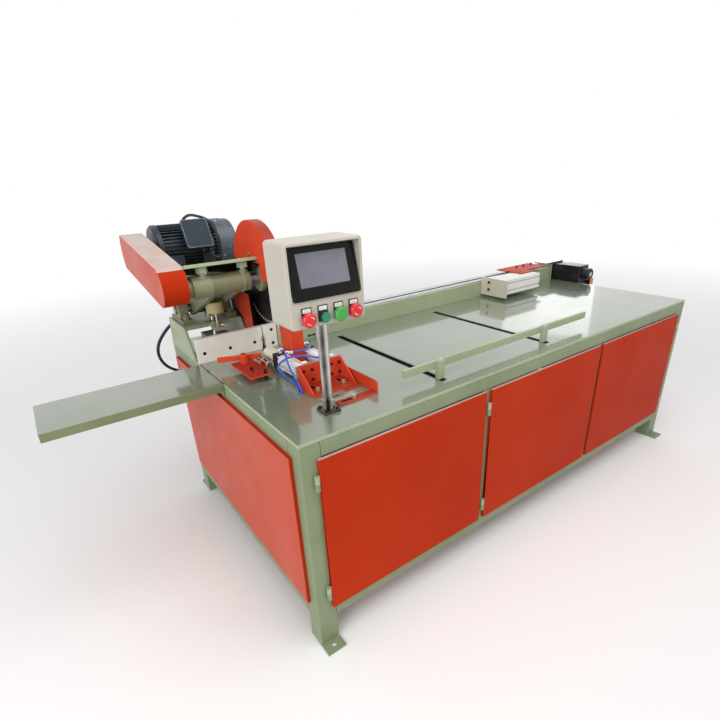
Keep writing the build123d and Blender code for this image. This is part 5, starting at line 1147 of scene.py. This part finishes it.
@dataclass
class WorkTable(Assembly):
    """Table plate, outfeed, fences and the fasteners on them."""

    table_border: float = 5.0
    outfeed_skin: float = 1.0
    fence_back: float = 840.1
    fence_span: tuple = (2.0, 342.0)
    fence_hole_y: tuple = (820.2, 829.0)
    fence_hole_z: tuple = (810.0, 890.0)
    blade_middle: float = 280.0
    blade_gap: float = 12.0
    guide_top: float = 869.1
    screw_side: float = 210.0
    bolt_top: float = 818.0
    bolt_rear: float = 700.0
    slots: tuple = (611.0, 1201.0)
    slot_half: float = 9.0
    slot_shade: float = 6.0
    slot_span: tuple = (62.0, 744.0)
    slot_shade_deep: float = 0.3
    slot_shade_proud: float = 0.12
    # Thin dark plates: the key slot backs and the backs under the clamp bracket's slots are painted shade;
    # the outfeed joint is a dark joint.
    dark_strips: tuple = (
        ("table_key_back", "table_top", (237, 199, 797.6), (267, 209, 798.9)),
        ("fence_key_back", "long_fence", (488, 812.8, 806), (528, 813.8, 818)),
        ("outfeed_joint", "outfeed_table", (-2.4, 560, 799.6), (1.2, 818, 800.3)),
        ("slot_back_left", "clamp_bracket", (215, 257, 800.02), (229, 317, 800.16)),
        ("slot_back_right", "clamp_bracket", (319, 257, 800.02), (333, 317, 800.16)),
        ("strip_slot_back", "clamp_bracket", (234, 139, 800.02), (302, 151, 800.16)),
        ("link_mark_left", "clamp_bracket", (301, 216.5, 805.9), (315, 224, 806.12)),
        ("link_mark_right", "clamp_bracket", (326, 222, 805.9), (342, 229, 806.12)),
    )
    # Dark rings round the key slots, painted shade.
    key_shades: tuple = (
        ("table_key_shade", "table_top", (252.0, 204.0, 799.7), (0, 0, 1), (8.5, 5.4, 2.6)),
        ("fence_key_shade", "long_fence", (508.0, 812.3, 812.0), (0, -1, 0), (14.5, 6.2, 3.2)),
    )
    shade_rise: float = 0.42
    neck_drop: float = 0.03

    def build(self) -> None:
        """Dress the table and what is fixed to it."""
        self.dress("table_top", Finish.TABLE, EdgeBreak(2.0, 8.0, 2), self.table_face)
        self.dress("outfeed_table", Finish.TABLE, FOLDED, self.outfeed_face)
        self.dress("cut_fence", Finish.FENCE, SHARP, self.fence_face)
        self.dress("long_fence", Finish.SAGE, EdgeBreak(1.0))
        self.dress("guide_bar", Finish.SAGE, EdgeBreak(1.5), self.guide_face)
        self.dress("table_fasteners", Finish.OXIDE_AND_SHADE, EdgeBreak(0.5, 1.0, 1), self.fastener_face)
        self.slot_shades()
        for name, node, low, high in self.dark_strips:
            body = bmesh.new()
            self.plate(body, low, high)
            self.trim(name, node, Finish.OXIDE_AND_SHADE, body, edge=0.05)
        for name, node, foot, way, sizes in self.key_shades:
            self.key_shade(name, node, Vector(foot), Vector(way), sizes)

    def slot_shades(self) -> None:
        """Lay dark strips along the guide bar's slots, as painted shade."""
        body = bmesh.new()
        for middle in self.slots:
            for side in (-1, 1):
                wide = self.slot_half + self.slot_shade
                near, far = sorted((middle + side * self.slot_half, middle + side * wide))
                low = (near, self.slot_span[0], TABLE_TOP - self.slot_shade_deep)
                self.plate(body, low, (far, self.slot_span[1], TABLE_TOP + self.slot_shade_proud))
        self.trim("slot_shades", "table_top", Finish.OXIDE_AND_SHADE, body, edge=0.04)

    def key_shade(self, name: str, node: str, foot: Vector, way: Vector, sizes: tuple) -> None:
        """Lay dark painted shade round a key slot, which is two holes joined by a neck.

        Args:
            name: the rim's name.
            node: the piece that the slot is cut in.
            foot: the slot's middle, just under the face, in cabinet millimetres.
            way: the direction that the face looks.
            sizes: half the holes' distance, their radius and half the neck, in millimetres.
        """
        reach, radius, neck = sizes
        body = bmesh.new()
        for end in (-reach, reach):
            disc = ((0.0, 0.0), (radius, 0.0), (radius, self.shade_rise), (0.0, self.shade_rise))
            self.turn(body, disc, foot + Vector((end, 0, 0)), way)
        corner = Vector((reach, 0, 0)) + neck * way.cross(Vector((1, 0, 0)))
        self.plate(body, foot - corner, foot + corner + way * (self.shade_rise - self.neck_drop))
        self.trim(name, node, Finish.OXIDE_AND_SHADE, body, edge=0.03)

    def table_face(self, spot: Vector, normal: Vector) -> Finish:
        """Give the top its gloss, the slots' walls dark as painted shade and the edges the frame's paint.

        Args:
            spot: the face's middle in cabinet millimetres.
            normal: the way it looks.

        Returns:
            Its finish.
        """
        if normal.z > LEANING:
            return Finish.TABLE
        along = self.table_border < spot.x < CABINET_LENGTH - self.table_border
        across = self.table_border < spot.y < CABINET_DEPTH - self.table_border
        return Finish.OXIDE_AND_SHADE if along and across and abs(normal.z) < LEANING else Finish.SAGE

    def outfeed_face(self, spot: Vector, normal: Vector) -> Finish:
        """Give the top the table's gloss and the skirts a darker sage as painted shade."""
        top = normal.z > LEANING and spot.z > TABLE_TOP - self.outfeed_skin
        return Finish.TABLE if top else Finish.SAGE_SHADED

    def fence_face(self, spot: Vector, normal: Vector) -> Finish:
        """Paint the fence cream, the walls of its screw holes dark as painted shade and its backing angles
        green.

        Args:
            spot: the face's middle in cabinet millimetres.
            normal: the way it looks.

        Returns:
            Its finish.
        """
        if spot.y > self.fence_back:
            return Finish.SAGE
        (front, rear), (low, high) = self.fence_hole_y, self.fence_hole_z
        hole = front < spot.y < rear and low < spot.z < high and abs(normal.y) < LEANING
        plate = self.fence_span[0] < spot.x < self.fence_span[1]
        beside = abs(spot.x - self.blade_middle) > self.blade_gap
        return Finish.OXIDE_AND_SHADE if hole and plate and beside else Finish.FENCE

    def guide_face(self, spot: Vector, normal: Vector) -> Finish:
        """Leave the nuts on the posts pale and what runs in the slots dark.

        Args:
            spot: the face's middle in cabinet millimetres.
            normal: the way it looks.

        Returns:
            Its finish.
        """
        if spot.z > self.guide_top:
            return Finish.PALE
        return Finish.OXIDE_AND_SHADE if spot.z < TABLE_TOP else Finish.SAGE

    def fastener_face(self, spot: Vector, normal: Vector) -> Finish:
        """Pick zinc for the hexagon bolts and black for the screws."""
        bolt = spot.z < self.bolt_top and spot.x > self.screw_side and spot.y < self.bolt_rear
        return Finish.ZINC if bolt else Finish.OXIDE_AND_SHADE


@dataclass
class FeedDrive(Assembly):
    """Belt module, servo drive and pusher."""

    shaft: tuple = (2356.0, 850.0)
    servo_half: float = 48.0
    plug_gap: float = 0.5
    cover: tuple = ((622.0, 784.0), (808.0, 802.4))
    cover_inset: float = 1.0
    cap_disc: tuple = ((13.0, 0.0), (13.0, 0.8), (12.0, 1.2), (5.0, 1.2), (4.5, 0.8), (0.0, 0.8))
    cap_sunk: float = 0.2
    flange_low: float = 899.0
    bracket_top: float = 914.2
    push_front: float = 1624.8

    def build(self) -> None:
        """Dress the module, the drive and the pusher."""
        self.dress("module_body", Finish.ALUMINIUM, EdgeBreak(1.0))
        self.dress("idler_pulley", Finish.STEEL)
        self.dress("drive_pulley", Finish.STEEL)
        self.dress("timing_belt", Finish.RUBBER)
        self.dress("servo_bracket", Finish.SAGE, EdgeBreak(1.0), self.flange_face)
        self.dress("servo_motor", Finish.BLACK, SHARP, self.servo_face)
        self.dress("carriage", Finish.ALUMINIUM, EdgeBreak(1.0))
        self.dress("pusher_bracket", Finish.ORANGE, SHARP, self.bracket_face)
        self.dress("pusher_beam", Finish.EXTRUSION, EdgeBreak(0.6))
        self.dress("pusher_plate", Finish.PUSHER, EdgeBreak(0.8), self.plate_face)
        self.disc()

    def disc(self) -> None:
        """Set the pale disc into the encoder's cap and close the motor below."""
        low = cabinet(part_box("servo_motor")[0])
        foot = Vector((self.shaft[0], low.y + self.cap_sunk, self.shaft[1]))
        body = bmesh.new()
        self.turn(body, self.cap_disc, foot, Vector((0, -1, 0)))
        self.trim("encoder_disc", "servo_motor", Finish.PALE, body, edge=0.1)
        side = self.shaft[0] - self.servo_half
        near, far = side + self.cover_inset, side + 2 * self.servo_half - self.cover_inset
        body = bmesh.new()
        self.plate(body, (near, *self.cover[0]), (far, *self.cover[1]))
        self.trim("servo_cover", "servo_motor", Finish.BLACK, body, edge=2.0)

    def servo_face(self, spot: Vector, normal: Vector) -> Finish:
        """Pick the plug's orange, the glossy top whose paler grey is a painted sheen, and the motor's black.

        Args:
            spot: the face's middle in cabinet millimetres.
            normal: the way it looks.

        Returns:
            Its finish.
        """
        if spot.x > self.shaft[0] + self.servo_half + self.plug_gap:
            return Finish.PLUG
        return Finish.SERVO_LID_SHEEN if normal.z > FACING else Finish.BLACK

    def flange_face(self, spot: Vector, normal: Vector) -> Finish:
        """Leave the flange over the housing dark, with a pale top painted as a reflection and an orange end.

        Args:
            spot: the face's middle in cabinet millimetres.
            normal: the way it looks.

        Returns:
            Its finish.
        """
        if spot.z < self.flange_low:
            return Finish.OXIDE_AND_SHADE if normal.y < -LEANING else Finish.SAGE
        if normal.z > FACING:
            return Finish.ORANGE_LIP_REFLECTION
        return Finish.ORANGE if normal.x < -LEANING else Finish.OXIDE_AND_SHADE

    def bracket_face(self, spot: Vector, normal: Vector) -> Finish:
        """Leave the bolt heads black and the faces other than the tops darker, as painted shade.

        Args:
            spot: the face's middle in cabinet millimetres.
            normal: the way it looks.

        Returns:
            Its finish.
        """
        if spot.z > self.bracket_top:
            return Finish.OXIDE_AND_SHADE
        return Finish.ORANGE if normal.z > FACING else Finish.ORANGE_SHADED

    def plate_face(self, spot: Vector, normal: Vector) -> Finish:
        """Leave the bolt heads black."""
        return Finish.OXIDE_AND_SHADE if spot.x < self.push_front else Finish.PUSHER


@dataclass
class ControlStation(Assembly):
    """Post, console, operator panel and buttons."""

    panel_middle: tuple = (167.0, 73.0, 1233.5)
    lean: float = math.atan2(34.0, 145.0)
    screen_depth: tuple = (4.9, 5.6)
    square_on: float = 0.9
    base_top: float = 808.1
    button_places: tuple = (97.0, 146.0, 195.0, 244.0)
    button_height: float = 1121.0
    legend_front: float = 53.8
    legend_half: float = 12.0
    legend_up: tuple = (17.5, 28.5)
    legend_proud: float = 0.7
    legend_sunk: float = 0.2
    mushroom_front: float = 33.5
    arc: tuple = (9.4, 11.4)
    arc_starts: tuple = (0.35, 3.49)
    arc_sweep: float = 1.35
    arc_steps: int = 12
    arc_taper: float = 0.75
    arc_widest: float = 0.2
    arc_sunk: float = -0.1
    arc_proud: float = 0.25

    def build(self) -> None:
        """Dress the post, the console and everything on its face."""
        self.dress("control_post", Finish.STAINLESS, EdgeBreak(0.8), self.post_face)
        self.dress("console", Finish.CREAM, EdgeBreak(0.8))
        self.dress("hmi_panel", Finish.BEZEL, EdgeBreak(0.6), self.panel_face)
        self.dress("legend_holders", Finish.BLACK, EdgeBreak(0.6))
        self.dress("button_stop", Finish.RED, SHARP)
        self.dress("button_run", Finish.GREEN, SHARP)
        self.dress("button_emergency", Finish.RED, SHARP)
        self.dress("button_start", Finish.DEEP_GREEN, SHARP, self.start_face)
        self.legends()
        self.turn_marks("button_stop", self.button_places[0])
        self.turn_marks("button_emergency", self.button_places[3])

    def post_face(self, spot: Vector, normal: Vector) -> Finish:
        """Leave the base plate dark under the polished post."""
        return Finish.DARK_STEEL if spot.z < self.base_top else Finish.STAINLESS

    def start_face(self, spot: Vector, normal: Vector) -> Finish:
        """Leave the flush button's ring dark."""
        return Finish.DEEP_GREEN if normal.y < -self.square_on else Finish.RING_GREEN

    def panel_face(self, spot: Vector, normal: Vector) -> Finish:
        """Pick the sunk screen, whose pale grey is a painted reflection, out of the black bezel.

        Args:
            spot: the face's middle in cabinet millimetres.
            normal: the way it looks.

        Returns:
            Its finish.
        """
        out = Vector((0, -math.cos(self.lean), math.sin(self.lean)))
        deep = (spot - Vector(self.panel_middle)).dot(out)
        sunk = self.screen_depth[0] < deep < self.screen_depth[1]
        return Finish.SCREEN if sunk and normal.dot(out) > self.square_on else Finish.BEZEL

    def legends(self) -> None:
        """Set a bare white plate into each legend holder."""
        front, rear = self.legend_front - self.legend_proud, self.legend_front + self.legend_sunk
        foot, head = (self.button_height + up for up in self.legend_up)
        body = bmesh.new()
        for place in self.button_places:
            low = (place - self.legend_half, front, foot)
            self.plate(body, low, (place + self.legend_half, rear, head))
        self.trim("legend_plates", "legend_holders", Finish.WHITE, body, edge=0.3)

    def turn_marks(self, node: str, place: float) -> None:
        """Print two white arcs on a mushroom head, for the way it turns to let go.

        Args:
            node: the button.
            place: how far along the console it is, in cabinet millimetres.
        """
        def point(angle: float, radius: float, lift: float) -> tuple:
            """Place of an arc's corner, in cabinet millimetres."""
            across, up = radius * math.cos(angle), radius * math.sin(angle)
            return (place + across, self.mushroom_front - lift, self.button_height + up)

        body = bmesh.new()
        for start in self.arc_starts:
            rings = []
            for count in range(self.arc_steps + 1):
                share = count / self.arc_steps
                angle = start + self.arc_sweep * count / self.arc_steps
                slim = self.arc_taper * abs(share - self.arc_widest)
                inner, outer = self.arc[0] + slim, self.arc[1] - slim
                rings.append([
                    point(angle, inner, self.arc_sunk),
                    point(angle, outer, self.arc_sunk),
                    point(angle, outer, self.arc_proud),
                    point(angle, inner, self.arc_proud),
                ])
            self.skin(body, rings)
        self.trim(node + "_arcs", node, Finish.WHITE, body, edge=0.05)


@dataclass
class TimberClamps(Assembly):
    """Clamp bracket, cylinders and rams, and the side presser."""

    axis_height: float = 841.0
    cap_half: float = 27.0
    cap_seam: float = 0.3
    fitting_gap: float = 0.2
    nose: tuple = (525.2, 555.2)
    rear: tuple = (343.2, 373.2)
    pad_from: float = 14.8
    level_screw: tuple = (135.0, 488.0)
    level_reach: float = 8.0
    presser_middle: float = 825.0
    presser_half: float = 3.2
    small_rod: tuple = (170.0, 842.0)
    small_reach: float = 10.5
    small_span: tuple = (519.0, 611.0)
    base_slots: tuple = ((222.0, 287.0, 6.0, 29.0), (326.0, 287.0, 6.0, 29.0), (268.0, 145.0, 33.0, 5.5))
    base_thick: float = 9.0
    rod_holes: tuple = (226.0, 335.0)
    hole_front: float = 335.08
    hole_cap: tuple = ((0.0, 0.0), (11.5, 0.0), (11.85, 0.3), (11.85, 7.4), (0.0, 7.4))
    tee: tuple = (238.0, 489.8, 880.6)
    tee_run: tuple = (
        (0.0, -14.0), (5.0, -14.0), (6.0, -13.0), (6.0, -9.0), (5.2, -8.0),
        (5.2, 8.0), (6.0, 9.0), (6.0, 13.0), (5.0, 14.0), (0.0, 14.0),
    )
    tee_branch: tuple = ((5.2, 0.0), (5.2, 6.0), (6.0, 7.0), (6.0, 11.0), (5.0, 12.0), (0.0, 12.0))
    tee_run_way: tuple = (20, -24, 1)
    tee_branch_way: tuple = (-16, -14, 5)

    def build(self) -> None:
        """Dress the clamps and the presser."""
        self.dress("clamp_bracket", Finish.ORANGE_LIT, EdgeBreak(0.8), self.bracket_face)
        self.dress("clamp_cylinders", Finish.BARREL, SHARP, self.cylinder_face)
        for ram in ("clamp_ram_left", "clamp_ram_right"):
            self.dress(ram, Finish.PAD, SHARP, self.ram_face)
        self.dress("presser_base", Finish.ORANGE_LIT, EdgeBreak(0.6), self.presser_face)
        self.dress("presser_shoe", Finish.ORANGE_LIT, EdgeBreak(0.6))
        self.dress("presser_rod", Finish.CHROME)
        body = bmesh.new()
        self.turn(body, self.tee_run, Vector(self.tee), Vector(self.tee_run_way))
        self.turn(body, self.tee_branch, Vector(self.tee), Vector(self.tee_branch_way))
        self.trim("air_tee", "clamp_cylinders", Finish.WHITE, body, edge=0.3)
        body = bmesh.new()
        for place in self.rod_holes:
            foot = Vector((place, self.hole_front, self.axis_height))
            self.turn(body, self.hole_cap, foot, Vector((0, 1, 0)))
        self.trim("rod_hole_caps", "clamp_bracket", Finish.ORANGE_LIT, body, edge=0.1)

    def bracket_face(self, spot: Vector, normal: Vector) -> Finish:
        """Paint the bracket's flat tops darker and the walls of its slots dark, as painted shade, and its
        other faces lighter, as painted light.

        Args:
            spot: the face's middle in cabinet millimetres.
            normal: the way it looks.

        Returns:
            Its finish.
        """
        if normal.z > FACING:
            return Finish.ORANGE_SHADED
        wall = abs(normal.z) < LEANING and spot.z < TABLE_TOP + self.base_thick
        for x, y, wide, long in self.base_slots:
            if wall and abs(spot.x - x) < wide and abs(spot.y - y) < long:
                return Finish.OXIDE_AND_SHADE
        return Finish.ORANGE_LIT

    def cylinder_face(self, spot: Vector, normal: Vector) -> Finish:
        """Pick white fittings, black nose caps and silver barrels.

        Args:
            spot: the face's middle in cabinet millimetres.
            normal: the way it looks.

        Returns:
            Its finish.
        """
        if spot.z > self.axis_height + self.cap_half + self.fitting_gap:
            return Finish.WHITE
        for (low, high), finish in ((self.nose, Finish.BLACK), (self.rear, Finish.ALUMINIUM)):
            if low - self.cap_seam <= spot.y <= high + self.cap_seam:
                return finish
        return Finish.BARREL

    def ram_face(self, spot: Vector, normal: Vector) -> Finish:
        """Pick the nylon pad and the chromed rod."""
        return Finish.PAD if spot.y > self.nose[1] + self.pad_from else Finish.CHROME

    def presser_face(self, spot: Vector, normal: Vector) -> Finish:
        """Pick the black levelling screw, the small cylinder's chrome and the orange plate with the bracket's
        painted light and shade.

        Args:
            spot: the face's middle in cabinet millimetres.
            normal: the way it looks.

        Returns:
            Its finish.
        """
        outside = abs(spot.z - self.presser_middle) > self.presser_half
        if math.dist(spot[:2], self.level_screw) < self.level_reach and outside:
            return Finish.OXIDE_AND_SHADE
        along = self.small_span[0] < spot.y < self.small_span[1]
        if math.dist((spot.x, spot.z), self.small_rod) < self.small_reach and along:
            return Finish.CHROME
        return self.bracket_face(spot, normal)


@dataclass
class SawHead(Assembly):
    """Stand, bearings, cylinder, casting, spindle, blade and guards."""

    arbor: tuple = (745.0, 1113.0)
    housing_left: float = 74.2
    housing_reach: float = 46.0
    ring: tuple = (190.0, 196.0)
    seam: float = 0.1
    bumper_low: float = 968.0
    flange: tuple = (262.0, 279.0)
    cheek: float = 249.0
    sheet: float = 3.0
    sheet_seam: float = 0.5
    guard_wide: float = 42.0
    guard_middle: tuple = (745.0, 1142.0)
    guard_rim: float = 60.0
    chute: tuple = (250.0, 310.0)
    chute_front: float = 842.0
    chute_seam: float = 1.0
    chute_rear: float = 10.0
    chute_lean: float = 0.3
    teeth: int = 60
    tip: tuple = ((-0.09, 170.6), (-0.01, 177.6), (0.2, 176.6), (0.28, 170.6))
    tip_side: tuple = (277.9, 282.1)
    # Dark sheets and a fin behind and beside the dust chute, standing in for the shade seen there.
    shade_sheets: tuple = (
        ((307.0, 829.6, 900.6), (310.0, 842.0, 950.0)),
        ((307.5, 842.4, 880.8), (350.0, 844.6, 950.0)),
    )
    fin_side: tuple = (250.2, 252.8)
    fin: tuple = (
        (912.4, 803.0), (940.4, 925.0), (1011.4, 962.0), (1011.4, 1000.0), (1060.0, 1000.0), (1060.0, 803.0)
    )

    def build(self) -> None:
        """Dress everything that carries or covers the blade."""
        self.dress("fixed_guards", Finish.ORANGE_LIT, EdgeBreak(0.8), self.chute_face)
        self.dress("saw_stand", Finish.SAGE, EdgeBreak(1.2))
        self.dress("pillow_blocks", Finish.SAGE_CAST, CAST)
        self.dress("bumper", Finish.NYLON, SHARP, self.bumper_face)
        self.dress("head_cylinder", Finish.ALUMINIUM, EdgeBreak(0.8))
        self.dress("head_rod", Finish.CHROME, EdgeBreak(0.8))
        self.dress("head_casting", Finish.SAGE_CAST, CAST, self.casting_face)
        self.dress("pivot_shaft", Finish.STEEL)
        self.dress("arbor_spindle", Finish.STEEL, SHARP, self.spindle_face)
        self.dress("saw_blade", Finish.BLADE, EdgeBreak(0.2, 200.0, 1))
        self.dress("blade_guard", Finish.ORANGE_LIT, EdgeBreak(0.8), self.guard_face)
        self.tips()
        # The dark sheets and fin behind the chute are painted shade.
        body = bmesh.new()
        for low, high in self.shade_sheets:
            self.plate(body, low, high)
        self.skin(body, [[(x, *point) for point in self.fin] for x in self.fin_side])
        self.trim("chute_shade_sheets", "fixed_guards", Finish.OXIDE_AND_SHADE, body, edge=0.3)

    def tips(self) -> None:
        """Braze a pale tip to each of the blade's teeth."""
        body = bmesh.new()
        step = 2 * math.pi / self.teeth
        y, z = self.arbor
        for count in range(self.teeth):
            turns = [((count + share) * step, radius) for share, radius in self.tip]
            outline = [(y + out * math.cos(angle), z + out * math.sin(angle)) for angle, out in turns]
            self.skin(body, [[(x, *point) for point in outline] for x in self.tip_side])
        self.trim("tooth_tips", "saw_blade", Finish.TIP, body, edge=0.1)

    def casting_face(self, spot: Vector, normal: Vector) -> Finish:
        """Leave the housing's middle dull and its ring bright.

        Args:
            spot: the face's middle in cabinet millimetres.
            normal: the way it looks.

        Returns:
            Its finish.
        """
        if math.dist((spot.y, spot.z), self.arbor) > self.housing_reach or spot.x < self.housing_left:
            return Finish.SAGE_CAST
        bright = self.ring[0] - self.seam < spot.x < self.ring[1] + self.seam
        return Finish.SAGE_FRAME_SHADED if bright else Finish.CAST_DEEP

    def bumper_face(self, spot: Vector, normal: Vector) -> Finish:
        """Pick the nylon puck and its steel stud."""
        return Finish.NYLON if spot.z >= self.bumper_low - self.seam else Finish.ZINC

    def spindle_face(self, spot: Vector, normal: Vector) -> Finish:
        """Paint the blade's inner flange green."""
        return Finish.SAGE_CAST if self.flange[0] < spot.x < self.flange[1] else Finish.STEEL

    def chute_face(self, spot: Vector, normal: Vector) -> Finish:
        """Leave the inside of the dust chute black, as painted shade.

        Args:
            spot: the face's middle in cabinet millimetres.
            normal: the way it looks.

        Returns:
            Its finish.
        """
        if spot.y < self.chute_front - self.chute_seam:
            return Finish.ORANGE_LIT
        wall = self.sheet + self.chute_seam
        left = normal.x > LEANING and spot.x < self.chute[0] + wall
        right = normal.x < -LEANING and spot.x > self.chute[1] - wall
        rear = normal.y < -self.chute_lean and spot.y > self.chute_front + self.chute_rear
        return Finish.OXIDE_AND_SHADE if left or right or rear else Finish.ORANGE_LIT

    def guard_face(self, spot: Vector, normal: Vector) -> Finish:
        """Leave the guard's bolt zinc, its rim darker and its inside dark as painted shade, and its flat
        sides lighter as painted light.

        Args:
            spot: the face's middle in cabinet millimetres.
            normal: the way it looks.

        Returns:
            Its finish.
        """
        if spot.x < self.cheek - self.seam:
            return Finish.ZINC
        wall = self.sheet - self.sheet_seam
        inside = self.cheek + wall < spot.x < self.cheek + self.guard_wide - wall
        flat = abs(normal.x) > LEANING
        out = (spot.yz - Vector(self.guard_middle)).dot(normal.yz)
        if inside and (flat or out < -self.guard_rim):
            return Finish.OXIDE_AND_SHADE
        return Finish.ORANGE_LIT if flat else Finish.ORANGE_SHADED


@dataclass
class MotorDrive(Assembly):
    """Motor, its plate, belts and belt guard."""

    axis: tuple = (1204.24, 1206.58)
    box_lean: float = math.radians(64.0)
    box_middle: float = 163.0
    lid_face: float = 140.2
    lid_screws: tuple = (47.0, 52.0)
    lid_half: tuple = (55.0, 60.0)
    lid_round: float = 8.0
    lid_corner_steps: int = 5
    lid_screw: float = 4.0
    rim_section: tuple = ((0.3, -3.5), (0.3, 1.2), (1.4, 2.4), (3.4, 2.4), (4.6, -0.3))
    gland_edge: float = -60.5
    cowl_band: tuple = (274.0, 105.0)
    cowl_screw: float = 5.0
    cowl_screw_sunk: float = 0.3
    cowl_turns: tuple = (205, 295, 385, 475)
    plate_edge: tuple = (700.0, 1201.0)
    plate_tilt: float = math.radians(11.5)
    plate_thick: float = 12.1
    flange_x: tuple = (243.0, 248.0)
    flange_y: tuple = (722.0, 1230.0)
    flange_deep: float = 36.0

    def build(self) -> None:
        """Dress the motor and the drive to the spindle."""
        self.dress("motor_plate", Finish.SAGE, EdgeBreak(1.0), self.plate_face)
        self.dress("motor_body", Finish.MOTOR, SHARP)
        self.dress("fan_cover", Finish.COWL, EdgeBreak(0.8))
        self.dress("motor_rotor", Finish.STEEL)
        self.dress("v_belts", Finish.RUBBER)
        self.dress("terminal_box", Finish.BOX, EdgeBreak(3.0, 1.0, 2), self.box_face)
        self.dress("belt_guard", Finish.ORANGE, EdgeBreak(0.8), self.guard_face)
        self.screws()
        self.lid_rim()
        self.flange()

    def plate_face(self, spot: Vector, normal: Vector) -> Finish:
        """Leave the plate's underside dull and dark, as painted shade."""
        return Finish.UNDERSIDE_SHADE if normal.z < -LEANING else Finish.SAGE

    def flange(self) -> None:
        """Hang a narrow flange below the motor plate's right edge, in the dark underside paint as painted
        shade.
        """
        low, high = self.flange_x
        section = ((low, 0), (high, 0), (high, self.flange_deep), (low, self.flange_deep))
        rings = []
        for far in self.flange_y:
            fall = (far - self.plate_edge[0]) * math.tan(self.plate_tilt)
            under = self.plate_edge[1] - fall - self.plate_thick
            rings.append([(x, far, under - drop) for x, drop in section])
        body = bmesh.new()
        self.skin(body, rings)
        self.trim("plate_flange", "motor_plate", Finish.UNDERSIDE_SHADE, body, edge=0.3)

    def box_face(self, spot: Vector, normal: Vector) -> Finish:
        """Leave the cable glands black."""
        along = Vector((0, math.cos(self.box_lean), math.sin(self.box_lean)))
        return Finish.BLACK if (spot - Vector((0, *self.axis))).dot(along) < self.gland_edge else Finish.BOX

    def guard_face(self, spot: Vector, normal: Vector) -> Finish:
        """Lay dust on the belt guard's top and a paler painted sheen on its side.

        Args:
            spot: the face's middle in cabinet millimetres.
            normal: the way it looks.

        Returns:
            Its finish.
        """
        if normal.z > FACING:
            return Finish.ORANGE_DUST
        return Finish.ORANGE_SHEEN if normal.x < -FACING else Finish.ORANGE

    def on_lid(self, across: float, up: float, lift: float) -> Vector:
        """Find a place on the terminal box's lid.

        Args:
            across: millimetres from the lid's middle along the motor.
            up: millimetres from the lid's middle up the slope.
            lift: millimetres out of the lid's face.

        Returns:
            The place in cabinet millimetres.
        """
        along = Vector((0, math.cos(self.box_lean), math.sin(self.box_lean)))
        out = Vector((0, -math.sin(self.box_lean), math.cos(self.box_lean)))
        return Vector((self.box_middle + across, *self.axis)) + along * up + out * (self.lid_face + lift)

    def lid_rim(self) -> None:
        """Raise a rounded rim round the terminal box's lid, in the paler fan cover paint as a painted
        highlight.
        """
        rings = []
        wide, tall = (half - self.lid_round for half in self.lid_half)
        for start, x, y in ((0, wide, tall), (90, -wide, tall), (180, -wide, -tall), (270, wide, -tall)):
            for count in range(self.lid_corner_steps + 1):
                angle = math.radians(start + count * 90 / self.lid_corner_steps)
                ring = []
                for inset, lift in self.rim_section:
                    out = self.lid_round - inset
                    ring.append(self.on_lid(x + out * math.cos(angle), y + out * math.sin(angle), lift))
                rings.append(ring)
        body = bmesh.new()
        self.skin(body, rings, round_trip=True)
        self.trim("lid_rim", "terminal_box", Finish.COWL, body, edge=0.2)

    def screws(self) -> None:
        """Fix the terminal box's lid and the fan cover with small screws."""
        out = self.on_lid(0, 0, 1) - self.on_lid(0, 0, 0)
        body = bmesh.new()
        for side in (-1, 1):
            for up in (-1, 1):
                foot = self.on_lid(side * self.lid_screws[0], up * self.lid_screws[1], 0)
                self.turn(body, screw(self.lid_screw), foot, out)
        self.trim("lid_screws", "terminal_box", Finish.DARK_STEEL, body, edge=0.2)
        place, radius = self.cowl_band
        body = bmesh.new()
        for turn in self.cowl_turns:
            way = Vector((0, math.cos(math.radians(turn)), math.sin(math.radians(turn))))
            foot = Vector((place, *self.axis)) + way * (radius - self.cowl_screw_sunk)
            self.turn(body, screw(self.cowl_screw), foot, way)
        self.trim("cowl_screws", "fan_cover", Finish.STEEL, body, edge=0.2)


def main() -> None:
    """Build the studio, the cords and each sub-assembly in turn."""
    logging.basicConfig(level=logging.INFO, format="%(message)s")
    Studio().build()
    Cords().build()
    for kind in (Cabinet, WorkTable, FeedDrive, ControlStation, TimberClamps, SawHead, MotorDrive):
        kind().build()


if __name__ == "__main__":
    main()
